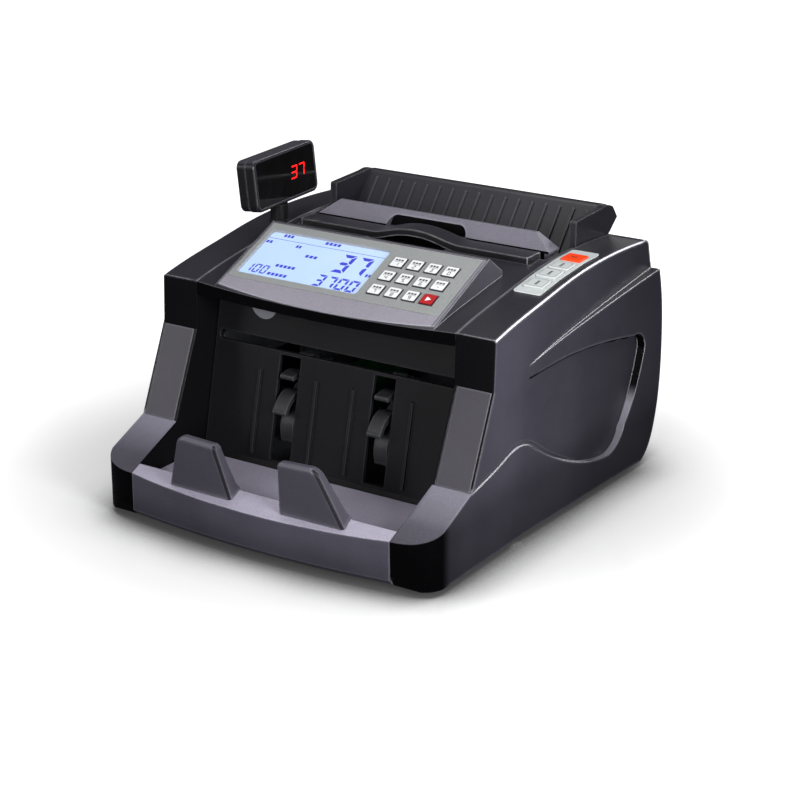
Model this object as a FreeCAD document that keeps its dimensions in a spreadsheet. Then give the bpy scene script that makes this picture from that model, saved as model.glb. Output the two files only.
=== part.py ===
# Banknote counting machine, in millimetres: moulded covers, console with keys, hopper,
# display head on a post, stacker, chassis and drive.
# X is to the right seen from the front, Y to the back, Z up from the desk.
# X = 0 is the middle of the width. Pieces are drawn from their own origin in Y, and at the
# end every body moves back by frame_shift_y, so Y = 0 is the middle of the footprint.
import FreeCAD, Part
import Sketcher
import math
import os

Vector = FreeCAD.Vector
doc = FreeCAD.newDocument("banknote_counter")
sheet = doc.addObject("Spreadsheet::Sheet", "Dims")


# ------------------------------------------------------------ driving dimensions
class Dim:
    """A number that also carries the spreadsheet expression it came from."""

    def __init__(self, text, value):
        self.text = text
        self.value = float(value)

    def __add__(self, other):
        return Dim("(%s + %s)" % (self.text, text_of(other)), self.value + number(other))

    def __sub__(self, other):
        return Dim("(%s - %s)" % (self.text, text_of(other)), self.value - number(other))

    def __rsub__(self, other):
        return Dim("(%s - %s)" % (text_of(other), self.text), number(other) - self.value)

    def __mul__(self, other):
        return Dim("(%s * %s)" % (self.text, text_of(other)), self.value * number(other))

    def __truediv__(self, other):
        return Dim("(%s / %s)" % (self.text, text_of(other)), self.value / number(other))

    def __neg__(self):
        return Dim("(0 - %s)" % self.text, -self.value)

    __radd__ = __add__
    __rmul__ = __mul__


def text_of(value):
    return value.text if isinstance(value, Dim) else repr(float(value))


def number(value):
    return value.value if isinstance(value, Dim) else float(value)


aliases = []


def dim(alias, value, note=""):
    """Adds a row to the sheet and returns its value as a Dim."""
    aliases.append(alias)
    row = len(aliases)
    sheet.set("A%d" % row, note or alias)
    sheet.set("B%d" % row, repr(float(value)))
    sheet.setAlias("B%d" % row, alias)
    return Dim("Dims." + alias, value)


seam_half = dim("seam_half", 97.0, "half width of the centre, to the cover seams")
side_half = dim("side_half", 124.4, "half width at the upper side skins")
bulge_half = dim("bulge_half", 131.0, "half width at the rear of the bulged skin")
cover_wall = dim("cover_wall", 2.4, "wall of the moulded covers")
fit_gap = dim("fit_gap", 0.2, "gap between neighbouring mouldings")
foot_top = dim("foot_top", 4.0, "underside of the machine above the desk")
lip_front = dim("lip_front", -159.2, "front of the rim at the seams")
lip_top = dim("lip_top", 33.3, "height of the rim's front edge")
brow_front = dim("brow_front", -87.5, "front edge of the console at its ends")
brow_height = dim("brow_height", 141.0, "height of the console's front edge")
console_tilt = dim("console_tilt", 23.22, "slope of the console in degrees")
console_bow = dim("console_bow", 6.5, "forward bow of the console's front edge")
console_half = dim("console_half", 82.0, "half width of the console block")
key_size = dim("key_size", 9.4, "side of a console key")
key_clearance = dim("key_clearance", 0.35, "gap round a key")
key_proud = dim("key_proud", 1.3, "key top above the console plane")
bar_half = dim("bar_half", 87.0, "half length of the handle bar")
bar_front = dim("bar_front", 13.9, "front of the handle bar")
bar_back = dim("bar_back", 30.1, "back of the handle bar")
bar_top = dim("bar_top", 160.4, "top of the handle bar")
handle_pivot_y = dim("handle_pivot_y", 46.0, "handle pivot")
handle_pivot_z = dim("handle_pivot_z", 152.0, "handle pivot")
handle_pin_radius = dim("handle_pin_radius", 2.5, "radius of the handle's pins")
running_gap = dim("running_gap", 0.05, "radial clearance of a running fit")
frame_inner = dim("frame_inner", 100.0, "inner face of the frame plates")
frame_thickness = dim("frame_thickness", 2.0, "frame plate thickness")
shaft_radius = dim("shaft_radius", 4.0, "radius of the steel shafts")
feed_shaft_y = dim("feed_shaft_y", 44.0)
feed_shaft_z = dim("feed_shaft_z", 104.0)
kicker_shaft_y = dim("kicker_shaft_y", 68.0)
kicker_shaft_z = dim("kicker_shaft_z", 112.0)
stacker_shaft_y = dim("stacker_shaft_y", -53.0)
stacker_shaft_z = dim("stacker_shaft_z", 62.0)
motor_y = dim("motor_y", 60.0)
motor_z = dim("motor_z", 50.0)
finger_wheel_radius = dim("finger_wheel_radius", 32.0, "radius over the stacker wheel's fingers")
post_x = dim("post_x", -103.2)
post_y = dim("post_y", 11.0)
post_radius = dim("post_radius", 6.0)
frame_shift_y = dim("frame_shift_y", 20.48,
                    "moves the drawing origin to the middle of the footprint")
head_width = dim("head_width", 75.7, "display head")
head_height = dim("head_height", 35.2, "display head")
head_depth = dim("head_depth", 14.6, "display head")
head_centre_z = dim("head_centre_z", 187.8)
head_yaw = dim("head_yaw", 93.75, "bearing of the head's width in degrees")
head_lean = dim("head_lean", -6.0, "lean of the head's face in degrees")
foot_radius = dim("foot_radius", 7.0)
knob_radius = dim("knob_radius", 9.0, "feed-gap knob")
doc.recompute()

HANDLE_PIVOT = (handle_pivot_y, handle_pivot_z)
FEED_SHAFT = (feed_shaft_y, feed_shaft_z)
KICKER_SHAFT = (kicker_shaft_y, kicker_shaft_z)
STACKER_SHAFT = (stacker_shaft_y, stacker_shaft_z)
MOTOR = (motor_y, motor_z)
POST = (post_x, post_y)
centre_half = seam_half - fit_gap

tilt_radians = math.radians(number(console_tilt))
tilt_cos = Dim("cos(%s * 1 deg)" % console_tilt.text, math.cos(tilt_radians))
tilt_sin = Dim("sin(%s * 1 deg)" % console_tilt.text, math.sin(tilt_radians))


# ------------------------------------------------------------ wires
# A wire is a circle(), or a list of a start point and steps. A step that is a plain
# point is a straight line to it. A wire left open is closed with a line.
def circle(centre, radius):
    return ("circle", centre, radius)


def arc(via, end):
    return ("arc", [via], end)


def curve(points):
    """A spline through all the points, that ends on the last."""
    return ("curve", points[:-1], points[-1])


def rect(x0, y0, x1, y1):
    return [(x0, y0), (x1, y0), (x1, y1), (x0, y1)]


def round_rect(x0, y0, x1, y1, radius):
    inset = radius * (1 - math.sqrt(0.5))
    return [(x0 + radius, y0), (x1 - radius, y0),
            arc((x1 - inset, y0 + inset), (x1, y0 + radius)), (x1, y1 - radius),
            arc((x1 - inset, y1 - inset), (x1 - radius, y1)), (x0 + radius, y1),
            arc((x0 + inset, y1 - inset), (x0, y1 - radius)), (x0, y0 + radius),
            arc((x0 + inset, y0 + inset), (x0 + radius, y0))]


def centred(x, y, half_x, half_y):
    """Limits of a rectangle given by its centre."""
    return (x - half_x, y - half_y, x + half_x, y + half_y)


def side_span(side, inner, outer):
    """Limits in X of a span given by distances from the middle, on side 1 or -1."""
    return (inner, outer) if side > 0 else (-outer, -inner)


def bind(obj, path, value):
    if isinstance(value, Dim):
        obj.setExpression(path, value.text)


def constrain(sketch, value, *reference):
    index = sketch.addConstraint(Sketcher.Constraint(*reference, number(value)))
    bind(sketch, "Constraints[%d]" % index, value)


def pin(sketch, geometry, vertex, point):
    constrain(sketch, point[0], "DistanceX", -1, 1, geometry, vertex)
    constrain(sketch, point[1], "DistanceY", -1, 1, geometry, vertex)


def flat_vector(point):
    return Vector(number(point[0]), number(point[1]), 0)


def draw(sketch, wire):
    """Adds one closed and fully pinned wire to a sketch."""
    if wire[0] == "circle":
        centre, radius = wire[1:]
        shape = Part.Circle(flat_vector(centre), Vector(0, 0, 1), number(radius))
        geometry = sketch.addGeometry(shape, False)
        constrain(sketch, radius, "Radius", geometry)
        pin(sketch, geometry, 3, centre)
        return
    start = wire[0]
    steps = [step if isinstance(step[0], str) else ("line", [], step) for step in wire[1:]]
    last = steps[-1][-1]
    if abs(number(last[0]) - number(start[0])) + abs(number(last[1]) - number(start[1])) > 1e-6:
        steps.append(("line", [], start))
    here = start
    drawn = []
    for kind, via, end in steps:
        first = flat_vector(here)
        final = flat_vector(end)
        between = [flat_vector(point) for point in via]
        clockwise = False
        if kind == "line":
            shape = Part.LineSegment(first, final)
        elif kind == "arc":
            on_arc = between[0]
            clockwise = (on_arc - first).cross(final - on_arc).z < 0
            if clockwise:
                shape = Part.Arc(final, on_arc, first)
            else:
                shape = Part.Arc(first, on_arc, final)
        else:
            shape = Part.BSplineCurve()
            shape.interpolate([first] + between + [final])
        geometry = sketch.addGeometry(shape, False)
        # a sketch counts an arc's ends anticlockwise
        begin_vertex, end_vertex = (2, 1) if clockwise else (1, 2)
        drawn.append((geometry, begin_vertex, end_vertex, here))
        here = end
    sketch.addConstraint([
        Sketcher.Constraint("Coincident", this[0], this[2], after[0], after[1])
        for this, after in zip(drawn, drawn[1:] + drawn[:1])])
    for geometry, begin_vertex, _, point in drawn:
        pin(sketch, geometry, begin_vertex, point)


# ------------------------------------------------------------ edge selection
def middle(edge):
    # guards edges whose curve can't be evaluated
    try:
        return edge.valueAt((edge.FirstParameter + edge.LastParameter) / 2)
    except Exception:
        return edge.CenterOfMass


def ends(edge):
    return [vertex.Point for vertex in edge.Vertexes]


def near(value, target, tolerance=0.05):
    return abs(value - number(target)) < tolerance


def at_height(z):
    """Selector of the edges whose middle lies at height z."""
    return lambda edge: near(middle(edge).z, z, 0.01)


# ------------------------------------------------------------ bodies
pieces = []


class Piece:
    """One PartDesign body, built up feature by feature.

    Wires hold (x, y) on plane XY, (x, z) on XZ and (y, z) on YZ.
    """

    def __init__(self, label):
        self.body = doc.addObject("PartDesign::Body", label)
        self.body.Label = label
        self.feature_count = 0
        self.home_y = 0.0
        pieces.append(self)

    def add(self, type_name):
        self.feature_count += 1
        kind = type_name.split("::")[1]
        return self.body.newObject(
            type_name, "%s_%s%d" % (self.body.Name, kind, self.feature_count))

    def origin(self, role):
        for feature in self.body.Origin.OriginFeatures:
            if feature.Role == role:
                return feature

    def sketch(self, plane, wires, lift=0.0):
        sketch = self.add("Sketcher::SketchObject")
        sketch.AttachmentSupport = [(self.origin(plane + "_Plane"), "")]
        sketch.MapMode = "FlatFace"
        sketch.AttachmentOffset = FreeCAD.Placement(
            Vector(0, 0, number(lift)), FreeCAD.Rotation())
        bind(sketch, "AttachmentOffset.Base.z", lift)
        for wire in wires:
            draw(sketch, wire)
        return sketch

    def extrude(self, kind, sketch, length):
        feature = self.add("PartDesign::" + kind)
        feature.Profile = sketch
        feature.Length = number(length)
        bind(feature, "Length", length)
        return feature

    def between(self, kind, plane, wires, low, high):
        # the XZ plane's normal points to the front, so its extrusions start at the back
        sketch = self.sketch(plane, wires, -high if plane == "XZ" else low)
        return self.extrude(kind, sketch, high - low)

    def solid(self, plane, wires, low, high):
        """Adds material between two stations along the axis across the plane."""
        feature = self.between("Pad", plane, wires, low, high)
        doc.recompute()
        return feature

    def cut(self, plane, wires, low, high):
        """Removes material between two stations along the axis across the plane."""
        feature = self.between("Pocket", plane, wires, low, high)
        feature.Reversed = True
        doc.recompute()
        return feature

    def console_cut(self, wires, depth):
        """Cuts down from the console plane, and 8 mm up out of the block."""
        sketch = self.sketch("XY", wires)
        sketch.AttachmentOffset = FreeCAD.Placement(
            Vector(0, number(brow_front), number(brow_height)),
            FreeCAD.Rotation(Vector(1, 0, 0), number(console_tilt)))
        bind(sketch, "AttachmentOffset.Base.y", brow_front)
        bind(sketch, "AttachmentOffset.Base.z", brow_height)
        bind(sketch, "AttachmentOffset.Rotation.Angle", console_tilt)
        feature = self.extrude("Pocket", sketch, depth)
        feature.SideType = "Two sides"
        feature.Type2 = "Length"
        feature.Length2 = 8.0
        doc.recompute()

    def discs(self, plane, centre, steps):
        """Adds coaxial discs, each given as (radius, low, high)."""
        for radius, low, high in steps:
            self.solid(plane, [circle(centre, radius)], low, high)

    def row_x(self, feature, length, count):
        """Repeats a feature along X over the whole length."""
        pattern = self.add("PartDesign::LinearPattern")
        pattern.Originals = [feature]
        pattern.Direction = (self.origin("X_Axis"), [""])
        pattern.Length = length
        pattern.Occurrences = count
        self.body.Tip = pattern
        doc.recompute()

    def ring(self, feature, axis, count):
        pattern = self.add("PartDesign::PolarPattern")
        pattern.Originals = [feature]
        pattern.Axis = axis
        pattern.Angle = 360.0
        pattern.Occurrences = count
        self.body.Tip = pattern
        doc.recompute()

    def edges(self, pick, size, kind="Fillet"):
        """Fillets or chamfers the edges that pick() chooses; leaves them sharp if that fails."""
        doc.recompute()
        tip = self.body.Tip
        names = ["Edge%d" % i for i, edge in enumerate(tip.Shape.Edges, 1) if pick(edge)]
        if not names:
            return
        feature = self.add("PartDesign::" + kind)
        feature.Base = (tip, names)
        setattr(feature, "Radius" if kind == "Fillet" else "Size", size)
        doc.recompute()
        # guards against a fillet that fails or damages the solid
        failed = ("Invalid" in feature.State or "Error" in feature.State
                  or feature.Shape.isNull() or not feature.Shape.isValid()
                  or len(feature.Shape.Solids) != len(tip.Shape.Solids)
                  or feature.Shape.Volume < 0.5 * tip.Shape.Volume)
        if failed:
            self.body.removeObject(feature)
            doc.removeObject(feature.Name)
            self.body.Tip = tip
            doc.recompute()

    def place(self, x, y, z, rotation):
        self.body.Placement = FreeCAD.Placement(Vector(x, number(y), number(z)), rotation)
        self.home_y = y
        bind(self.body, "Placement.Base.z", z)

    def on_console(self, x=0.0, up=0.0):
        """Lays a piece drawn on XY onto the console plane, a distance up its slope."""
        self.place(x, brow_front + tilt_cos * up, brow_height + tilt_sin * up,
                   FreeCAD.Rotation(Vector(1, 0, 0), number(console_tilt)))
        bind(self.body, "Placement.Rotation.Angle", console_tilt)


# ------------------------------------------------------------ shared side lines
# (y, z) points of the side view
CREST_START = (-87.6, 140.6)
CREST = [(-66.9, 144.9), (-30.3, 150.5), (3.1, 155.3), (30.4, 157.6), (56.1, 158.2),
         (82.8, 157.5), (101.5, 156.2)]
REAR_START = (113.9, 135.4)
REAR = [(118.2, 118.3), (121.2, 88.0), (121.0, 60.9), (118.7, 40.9), (115.6, 28.1),
        (110.8, 15.9), (101.5, 5.4)]
RIM_SLOPE = 0.4334                # rise of the rim's top per unit of depth


def crest_height(y):
    """Height of the crest's straight-line course at y."""
    line = [CREST_START] + CREST
    for (y0, z0), (y1, z1) in zip(line, line[1:]):
        if y0 <= y <= y1:
            return z0 + (z1 - z0) * (y - y0) / (y1 - y0)


def rim_height(y):
    return number(lip_top) + RIM_SLOPE * (y - number(lip_front))


# ------------------------------------------------------------ side covers
SIDE_KEYS = [                     # label, centre in y, length
    ("side_key_1", 34.4, 12.6), ("side_key_2", 18.2, 11.6),
    ("side_key_3", 3.0, 12.4), ("side_key_4", -12.8, 12.0)]

SIDE_OUTLINE = [                  # (y, z)
    (-155.0, foot_top), (-158.4, 11.0), (lip_front, lip_top), (-113.2, 53.2), (-89.0, 108.8),
    CREST_START, curve(CREST), arc((107.4, 155.0), (109.8, 150.6)),
    REAR_START, curve(REAR), (99.0, foot_top)]
BULGE_OUTLINE = [                 # (y, z)
    (-48.0, 113.6),
    curve([(-25.3, 118.0), (-5.0, 121.2), (28.0, 125.6), (64.0, 130.0), REAR_START]),
    curve(REAR), (99.0, foot_top), (-48.0, foot_top)]
LEAF = [                          # (y, z)
    (-47.5, 106.0),
    curve([(-24.7, 106.9), (-6.4, 107.3), (17.1, 106.3), (41.4, 104.0), (66.6, 100.3),
           (83.0, 97.4)]),
    arc((94.6, 93.6), (98.0, 84.6)),
    curve([(92.6, 69.2), (85.6, 54.4), (73.9, 38.0)]),
    arc((65.5, 27.2), (53.5, 23.0)),
    curve([(36.9, 25.0), (14.4, 31.1), (-7.5, 40.1), (-26.6, 50.2), (-47.5, 62.4)])]
GROOVE = [                        # (y, z)
    (14.4, 31.6),
    curve([(-7.5, 42.2), (-26.6, 52.9), (-47.0, 65.2), (-57.0, 67.6), (-66.2, 67.0),
           (-79.7, 62.9), (-95.3, 58.6), (-112.2, 54.2)]),
    (-112.9, 52.6),
    curve([(-95.3, 56.2), (-79.7, 60.0), (-66.2, 63.8), (-57.0, 64.6), (-47.0, 62.6),
           (-26.6, 50.6), (-7.5, 40.5), (14.4, 31.4)]),
    (14.4, 31.6)]
FRONT_HOLLOW = [                  # (y, z)
    (-146.0, 7.0), (-146.0, 36.3), (-110.2, 51.4), (-85.4, 107.3), (-84.9, 138.4),
    (-66.0, 142.3), (-60.0, 143.2), (-60.0, 7.0)]
REAR_HOLLOW = [                   # (y, z)
    (-61.5, -1.0), (-61.5, 142.9),
    curve([(-30.0, 148.0), (3.0, 152.8), (30.0, 155.1), (56.0, 155.7), (83.0, 155.0),
           (100.0, 153.8)]),
    (107.4, 149.0), (111.2, 135.0),
    curve([(115.6, 118.0), (118.6, 88.0), (118.4, 61.0), (116.1, 41.5), (113.1, 29.0),
           (108.0, 17.0)]),
    (98.0, 7.0), (96.0, -1.0)]
TRIM_SEAT = [(-117.0, 54.9), (-92.7, 110.4), (-87.44, 108.12), (-111.64, 52.52)]


def side_cover(label, side):
    cover = Piece(label)
    cover.solid("YZ", [SIDE_OUTLINE], *side_span(side, seam_half, side_half))
    # bulged lower skin, trimmed in plan so that it grows wider towards the rear
    cover.solid("YZ", [BULGE_OUTLINE], *side_span(side, side_half - 2.0, bulge_half + 1.0))
    beyond_bulge = [(side * side_half, -48.0), (side * (bulge_half + 0.2), 124.0),
                    (side * 142.0, 140.0), (side * 142.0, -48.0)]
    cover.cut("XY", [beyond_bulge], -5.0, 175.0)
    # rounded front corner of the rim
    beyond_corner = [
        (side * 96.0, -159.4), (side * 99.0, -159.1),
        curve([(side * 111.8, -156.8), (side * 120.2, -151.7), (side * 123.6, -146.6),
               (side * side_half, -138.0)]),
        (side * 142.0, -138.0), (side * 142.0, -180.0), (side * 96.0, -180.0)]
    cover.cut("XY", [beyond_corner], -5.0, 60.0)
    # leaf-shaped recess in the bulge
    cover.cut("YZ", [LEAF], *side_span(side, side_half + 0.02, 136.0))
    # groove from the recess's lower edge, over a soft peak and down to the rim
    cover.cut("YZ", [GROOVE], *side_span(side, side_half - 0.7, 124.6))
    # the front hollow keeps an inner wall, the rear one is open inwards and below
    cover.cut("YZ", [FRONT_HOLLOW], *side_span(side, seam_half + 2.0, 119.8))
    cover.cut("YZ", [REAR_HOLLOW], *side_span(side, seam_half - 1.0, side_half - cover_wall))
    # seat of the slanted cheek trim
    cover.cut("YZ", [TRIM_SEAT], *side_span(side, seam_half + 1.9, side_half - 1.3))
    return cover


def round_side_cover(cover):
    def on_skin(edge):
        points = ends(edge)
        return len(points) == 2 and all(near(abs(point.x), side_half, 0.02) for point in points)

    def on_crest(edge):
        if not on_skin(edge):
            return False
        first, last = ends(edge)
        return (first.z > 108 and last.z > 108 and middle(edge).z > 138
                and abs(first.y - last.y) > 30)

    def on_upper_front(edge):
        return (on_skin(edge) and 108 < middle(edge).z < 141
                and near(middle(edge).y, -88.3, 1.2))

    cover.edges(on_crest, 1.6)
    cover.edges(on_upper_front, 1.2)


def right_side_cover():
    cover = side_cover("right_side_cover", 1)
    # windows under the side keys
    for _, y, length in SIDE_KEYS:
        reach = length / 2 + 0.75
        cover.cut("XY", [rect(101.9, y - reach, 116.9, y + reach)], 140.0, 165.0)
    round_side_cover(cover)


def left_side_cover():
    cover = side_cover("left_side_cover", -1)
    # guide for the display post, under the cover's top
    cover.solid("XY", [circle(POST, post_radius - 0.4)], 141.3, 154.5)
    cover.cut("XY", [circle(POST, post_radius - 2.5 + running_gap)], 130.0, 165.0)
    round_side_cover(cover)


def cheek_trim(label, side):
    trim = Piece(label)
    outline = [(-113.14, 53.34), (-89.08, 108.6), (-87.55, 107.93), (-111.6, 52.68)]
    trim.solid("YZ", [outline], *side_span(side, seam_half + 2.15, side_half - 1.6))
    trim.edges(lambda edge: len(ends(edge)) == 2 and near(middle(edge).z, 81, 2)
               and edge.Length > 50 and middle(edge).y < -100.5, 0.5)


# ------------------------------------------------------------ console
# Console pieces are drawn flat: x, and the distance up the slope from the brow.
KEY_COLUMNS = [26.8, 39.5, 52.3, 64.8]
KEY_ROWS = [                      # distance up the slope, labels from left to right
    (50.0, ["key_1", "key_2", "key_3", "key_0"]),
    (36.2, ["key_4", "key_5", "key_6", "key_minus"]),
    (22.4, ["key_7", "key_8", "key_9", "key_start"])]
LCD = (-76.0, 15.0, 16.0, 60.0)   # limits of the display opening


def lcd_limits(grow):
    x0, y0, x1, y1 = LCD
    return (x0 - grow, y0 - grow, x1 + grow, y1 + grow)


def key_holes(clearance):
    half = number(key_size / 2 + clearance)
    return [rect(*centred(x, up, half, half)) for x in KEY_COLUMNS for up, _ in KEY_ROWS]


def centre_cover():
    cover = Piece("centre_cover")
    # top skin between the seams, and the raised console block
    skin = [(-100.0, 132.6), (-100.0, 137.4), CREST_START,
            curve(CREST[:4] + [(36.5, 157.8)]), (36.5, 132.6)]
    cover.solid("YZ", [skin], -centre_half, centre_half)
    block_front = -100.0
    front_height = (number(brow_height)
                    - (number(brow_front) - block_front) * math.tan(tilt_radians))
    block = [(block_front, 132.6), (block_front, front_height), (-24.1, 168.2),
             (-8.6, 156.9), (-8.6, 146.0), (-80.0, 132.6)]
    cover.solid("YZ", [block], -console_half, console_half)
    # bowed front edge
    beyond_brow = [(-98.0, brow_front),
                   arc((0.0, brow_front - console_bow), (98.0, brow_front)),
                   (110.0, brow_front), (110.0, -112.0), (-110.0, -112.0),
                   (-110.0, brow_front)]
    cover.cut("XY", [beyond_brow], 120.0, 175.0)
    # hollows under the skin and under the block
    skin_hollow = [(-84.9, 120.0), (-84.9, 138.2), (-66.0, 142.3), (-30.0, 147.9),
                   (-12.0, 150.4), (-6.0, 145.5), (34.0, 145.5), (34.0, 120.0)]
    cover.cut("YZ", [skin_hollow], -(seam_half - 2.8), seam_half - 2.8)
    block_hollow = [(-84.9, 120.0), (-84.9, 137.7), (-23.0, 164.3), (-11.5, 156.2),
                    (-11.5, 120.0)]
    cover.cut("YZ", [block_hollow], -(console_half - 2.5), console_half - 2.5)
    # seat of the bezel, then the window of the display and the key holes
    cover.console_cut([[(-80.6, 1.2), arc((0.0, -5.9), (80.6, 1.2)),
                        (80.6, 67.4), (-80.6, 67.4)]], 1.5)
    cover.console_cut([rect(*LCD)] + key_holes(key_clearance), 9.0)
    # finger recess, bed of the handle bar and slots for its arms
    cover.cut("XY", [round_rect(-34.0, 3.0, 28.0, 13.4, 3.0)], 149.0, 165.0)
    cover.cut("XY", [rect(-89.4, 13.3, 89.4, 40.0)], 149.0, 165.0)
    for x0, x1 in ((-94.8, -88.0), (88.0, 94.8)):
        cover.cut("XY", [rect(x0, 24.0, x1, 40.0)], 120.0, 165.0)
    # cheeks that carry the handle's pins
    cheek = [(30.0, 134.0), (30.0, 157.5), (57.0, 158.0), (57.0, 146.0), (38.0, 134.0)]
    for side in (1, -1):
        cover.solid("YZ", [cheek], *side_span(side, 95.0, centre_half))
    for side in (1, -1):
        cover.cut("YZ", [circle(HANDLE_PIVOT, handle_pin_radius)],
                  *side_span(side, 94.0, 99.0))


def console_bezel():
    bezel = Piece("console_bezel")
    outline = [(-80.4, 1.4), arc((0.0, -5.7), (80.4, 1.4)), (80.4, 67.2), (-80.4, 67.2)]
    bezel.solid("XY", [outline, rect(*lcd_limits(0.1))] + key_holes(key_clearance), -1.5, 0.0)
    on_top = at_height(0.0)
    bezel.edges(lambda edge: on_top(edge) and (
        near(abs(middle(edge).x), 80.4) or middle(edge).y < 0 or middle(edge).y > 67), 0.4)
    bezel.on_console()


def keypad_overlay():
    overlay = Piece("keypad_overlay")
    overlay.solid("XY", [round_rect(-79.2, 10.4, 76.0, 66.2, 3.0), round_rect(*LCD, 2.2)]
                  + key_holes(key_clearance + 0.15), 0.0, 0.6)
    overlay.on_console()


def lcd_lens():
    lens = Piece("lcd_lens")
    top = 0.55
    lens.solid("XY", [round_rect(*lcd_limits(-0.2), 2.0)], -1.0, top)
    lens.edges(at_height(top), 0.3)
    lens.on_console()


def lcd_module():
    module = Piece("lcd_module")
    module.solid("XY", [rect(*lcd_limits(-0.3))], -8.0, -1.05)
    module.on_console()


def control_board():
    board = Piece("control_board")
    underside = -9.8
    board.solid("XY", [rect(-77.0, 9.0, 77.0, 62.0)], underside, -8.2)
    # row of four small blocks, a flat block and a tall strip, all under the board
    block = board.solid("XY", [rect(26.0, 12.0, 34.0, 16.0)], -12.0, underside)
    board.row_x(block, 40.0, 4)
    board.solid("XY", [rect(-30.0, 25.0, -8.0, 45.0)], -12.5, underside)
    board.solid("XY", [rect(-62.0, 22.0, -52.0, 52.0)], -15.5, underside)
    board.on_console()


def console_key(label, x, up):
    key = Piece(label)
    half = key_size / 2
    bottom = -6.6
    key.solid("XY", [round_rect(-half, -half, half, half, 1.2)], bottom, key_proud)
    # flange wider than the key's hole
    key.solid("XY", [rect(-5.6, -5.6, 5.6, 5.6)], bottom, -5.4)
    key.edges(at_height(key_proud), 0.5)
    key.on_console(x, up)


# ------------------------------------------------------------ side key strip
def side_key_plate():
    plate = Piece("side_key_plate")
    left, right = 99.6, 118.8
    stations = [-26.4, -15.0, 0.0, 15.0, 30.0, 40.0, 50.6]
    bottom = [(y, crest_height(y) + 0.25) for y in stations]
    top = [(y, z + 0.7) for y, z in bottom]
    plate.solid("YZ", [[bottom[0], curve(bottom[1:]), top[-1], curve(top[-2::-1])]],
                left, right)
    for _, y, length in SIDE_KEYS:
        reach = length / 2 + 0.5
        plate.cut("XY", [rect(102.2, y - reach, 116.6, y + reach)], 140.0, 165.0)

    def upright_corner(edge):
        points = ends(edge)
        return (len(points) == 2 and near(points[0].x, points[1].x, 0.01)
                and near(points[0].y, points[1].y, 0.1)
                and (near(middle(edge).x, left) or near(middle(edge).x, right)))

    plate.edges(upright_corner, 2.0)


def side_key(label, y, length):
    key = Piece(label)
    reach = 6.0                   # the crest's slope is taken over this much either way
    slope = math.degrees(math.atan2(
        crest_height(y + reach) - crest_height(y - reach), 2 * reach))
    top = 1.9
    key.solid("XY", [round_rect(-6.8, -length / 2, 6.8, length / 2, 0.9)], -4.0, top)
    key.edges(at_height(top), 0.4)
    key.place(109.4, y, crest_height(y), FreeCAD.Rotation(Vector(1, 0, 0), slope))


# ------------------------------------------------------------ carry handle
def carry_handle():
    handle = Piece("carry_handle")
    bar_bottom = bar_top - 5.2
    # bar with a raised hump in the middle
    bar = [(-bar_half, bar_bottom), (-bar_half, bar_top), (-34.0, bar_top),
           curve([(-24.0, 161.3), (-12.0, 164.4), (2.0, 165.8), (17.0, 164.2), (30.0, 161.2),
                  (40.0, bar_top)]),
           (bar_half, bar_top), (bar_half, bar_bottom), (40.0, bar_bottom),
           curve([(30.0, 156.2), (17.0, 159.6), (2.0, 161.2), (-12.0, 159.8), (-24.0, 156.4),
                  (-34.0, bar_bottom)])]
    handle.solid("XZ", [bar], bar_front, bar_back)
    # a step outwards at each end of the bar, and an arm back to the pivot
    arm = [(26.5, 150.2), (26.5, 155.4), (45.0, 155.9), arc((50.0, 152.0), (46.0, 148.0)),
           (42.0, 148.4)]
    for side in (1, -1):
        step = [(side * 84.0, 150.2), (side * 84.0, 155.4),
                (side * 94.2, 155.4), (side * 94.2, 150.2)]
        handle.solid("XZ", [step], 25.6, 30.9)
        handle.solid("YZ", [arm], *side_span(side, 90.4, 94.2))
    for side in (1, -1):
        handle.cut("YZ", [circle(HANDLE_PIVOT, handle_pin_radius + running_gap)],
                   *side_span(side, 88.0, 96.0))

    def top_edge(edge):
        point = middle(edge)
        return (edge.Length > 20 and point.z > 160.2
                and (near(point.y, bar_back) or near(point.y, bar_front))
                and not (point.z < 162 and abs(point.x) < 20))

    handle.edges(top_edge, 0.8)


def handle_pivot_pins():
    pins = Piece("handle_pivot_pins")
    for side in (1, -1):
        pins.solid("YZ", [circle(HANDLE_PIVOT, handle_pin_radius)],
                   *side_span(side, 89.6, 96.7))
        # pin head on the inner side
        pins.solid("YZ", [circle(HANDLE_PIVOT, handle_pin_radius + 1.2)],
                   *side_span(side, 88.9, 90.2))


# ------------------------------------------------------------ hopper
def hopper_front_guide():
    guide = Piece("hopper_front_guide")
    top = 168.4
    guide.solid("YZ", [[(37.0, 120.0), (37.0, 159.0), (44.5, top), (47.0, top),
                        (50.5, 158.0), (46.0, 132.0), (40.5, 120.0)]], -89.4, 89.4)
    # slanted upper corners
    for side in (1, -1):
        corner = [(side * 89.6, 158.6), (side * 76.0, 168.6), (side * 76.0, 176.0),
                  (side * 100.0, 176.0), (side * 100.0, 158.6)]
        guide.cut("XZ", [corner], 20.0, 70.0)
    # narrower below
    for side in (1, -1):
        flank = [(side * 86.4, 110.0), (side * 86.4, 157.4),
                 (side * 96.0, 157.4), (side * 96.0, 110.0)]
        guide.cut("XZ", [flank], 20.0, 70.0)
    # recess with rounded upper corners in the front face
    recess = [(-35.0, 157.0), (-34.0, 160.0), arc((-31.0, 164.0), (-26.0, 165.2)),
              (19.0, 165.2), arc((24.0, 164.0), (27.0, 160.0)), (28.0, 157.0)]
    guide.cut("XZ", [recess], 30.0, 43.5)
    guide.edges(lambda edge: len(ends(edge)) == 2 and near(middle(edge).z, top)
                and edge.Length > 100, 0.8)


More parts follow.
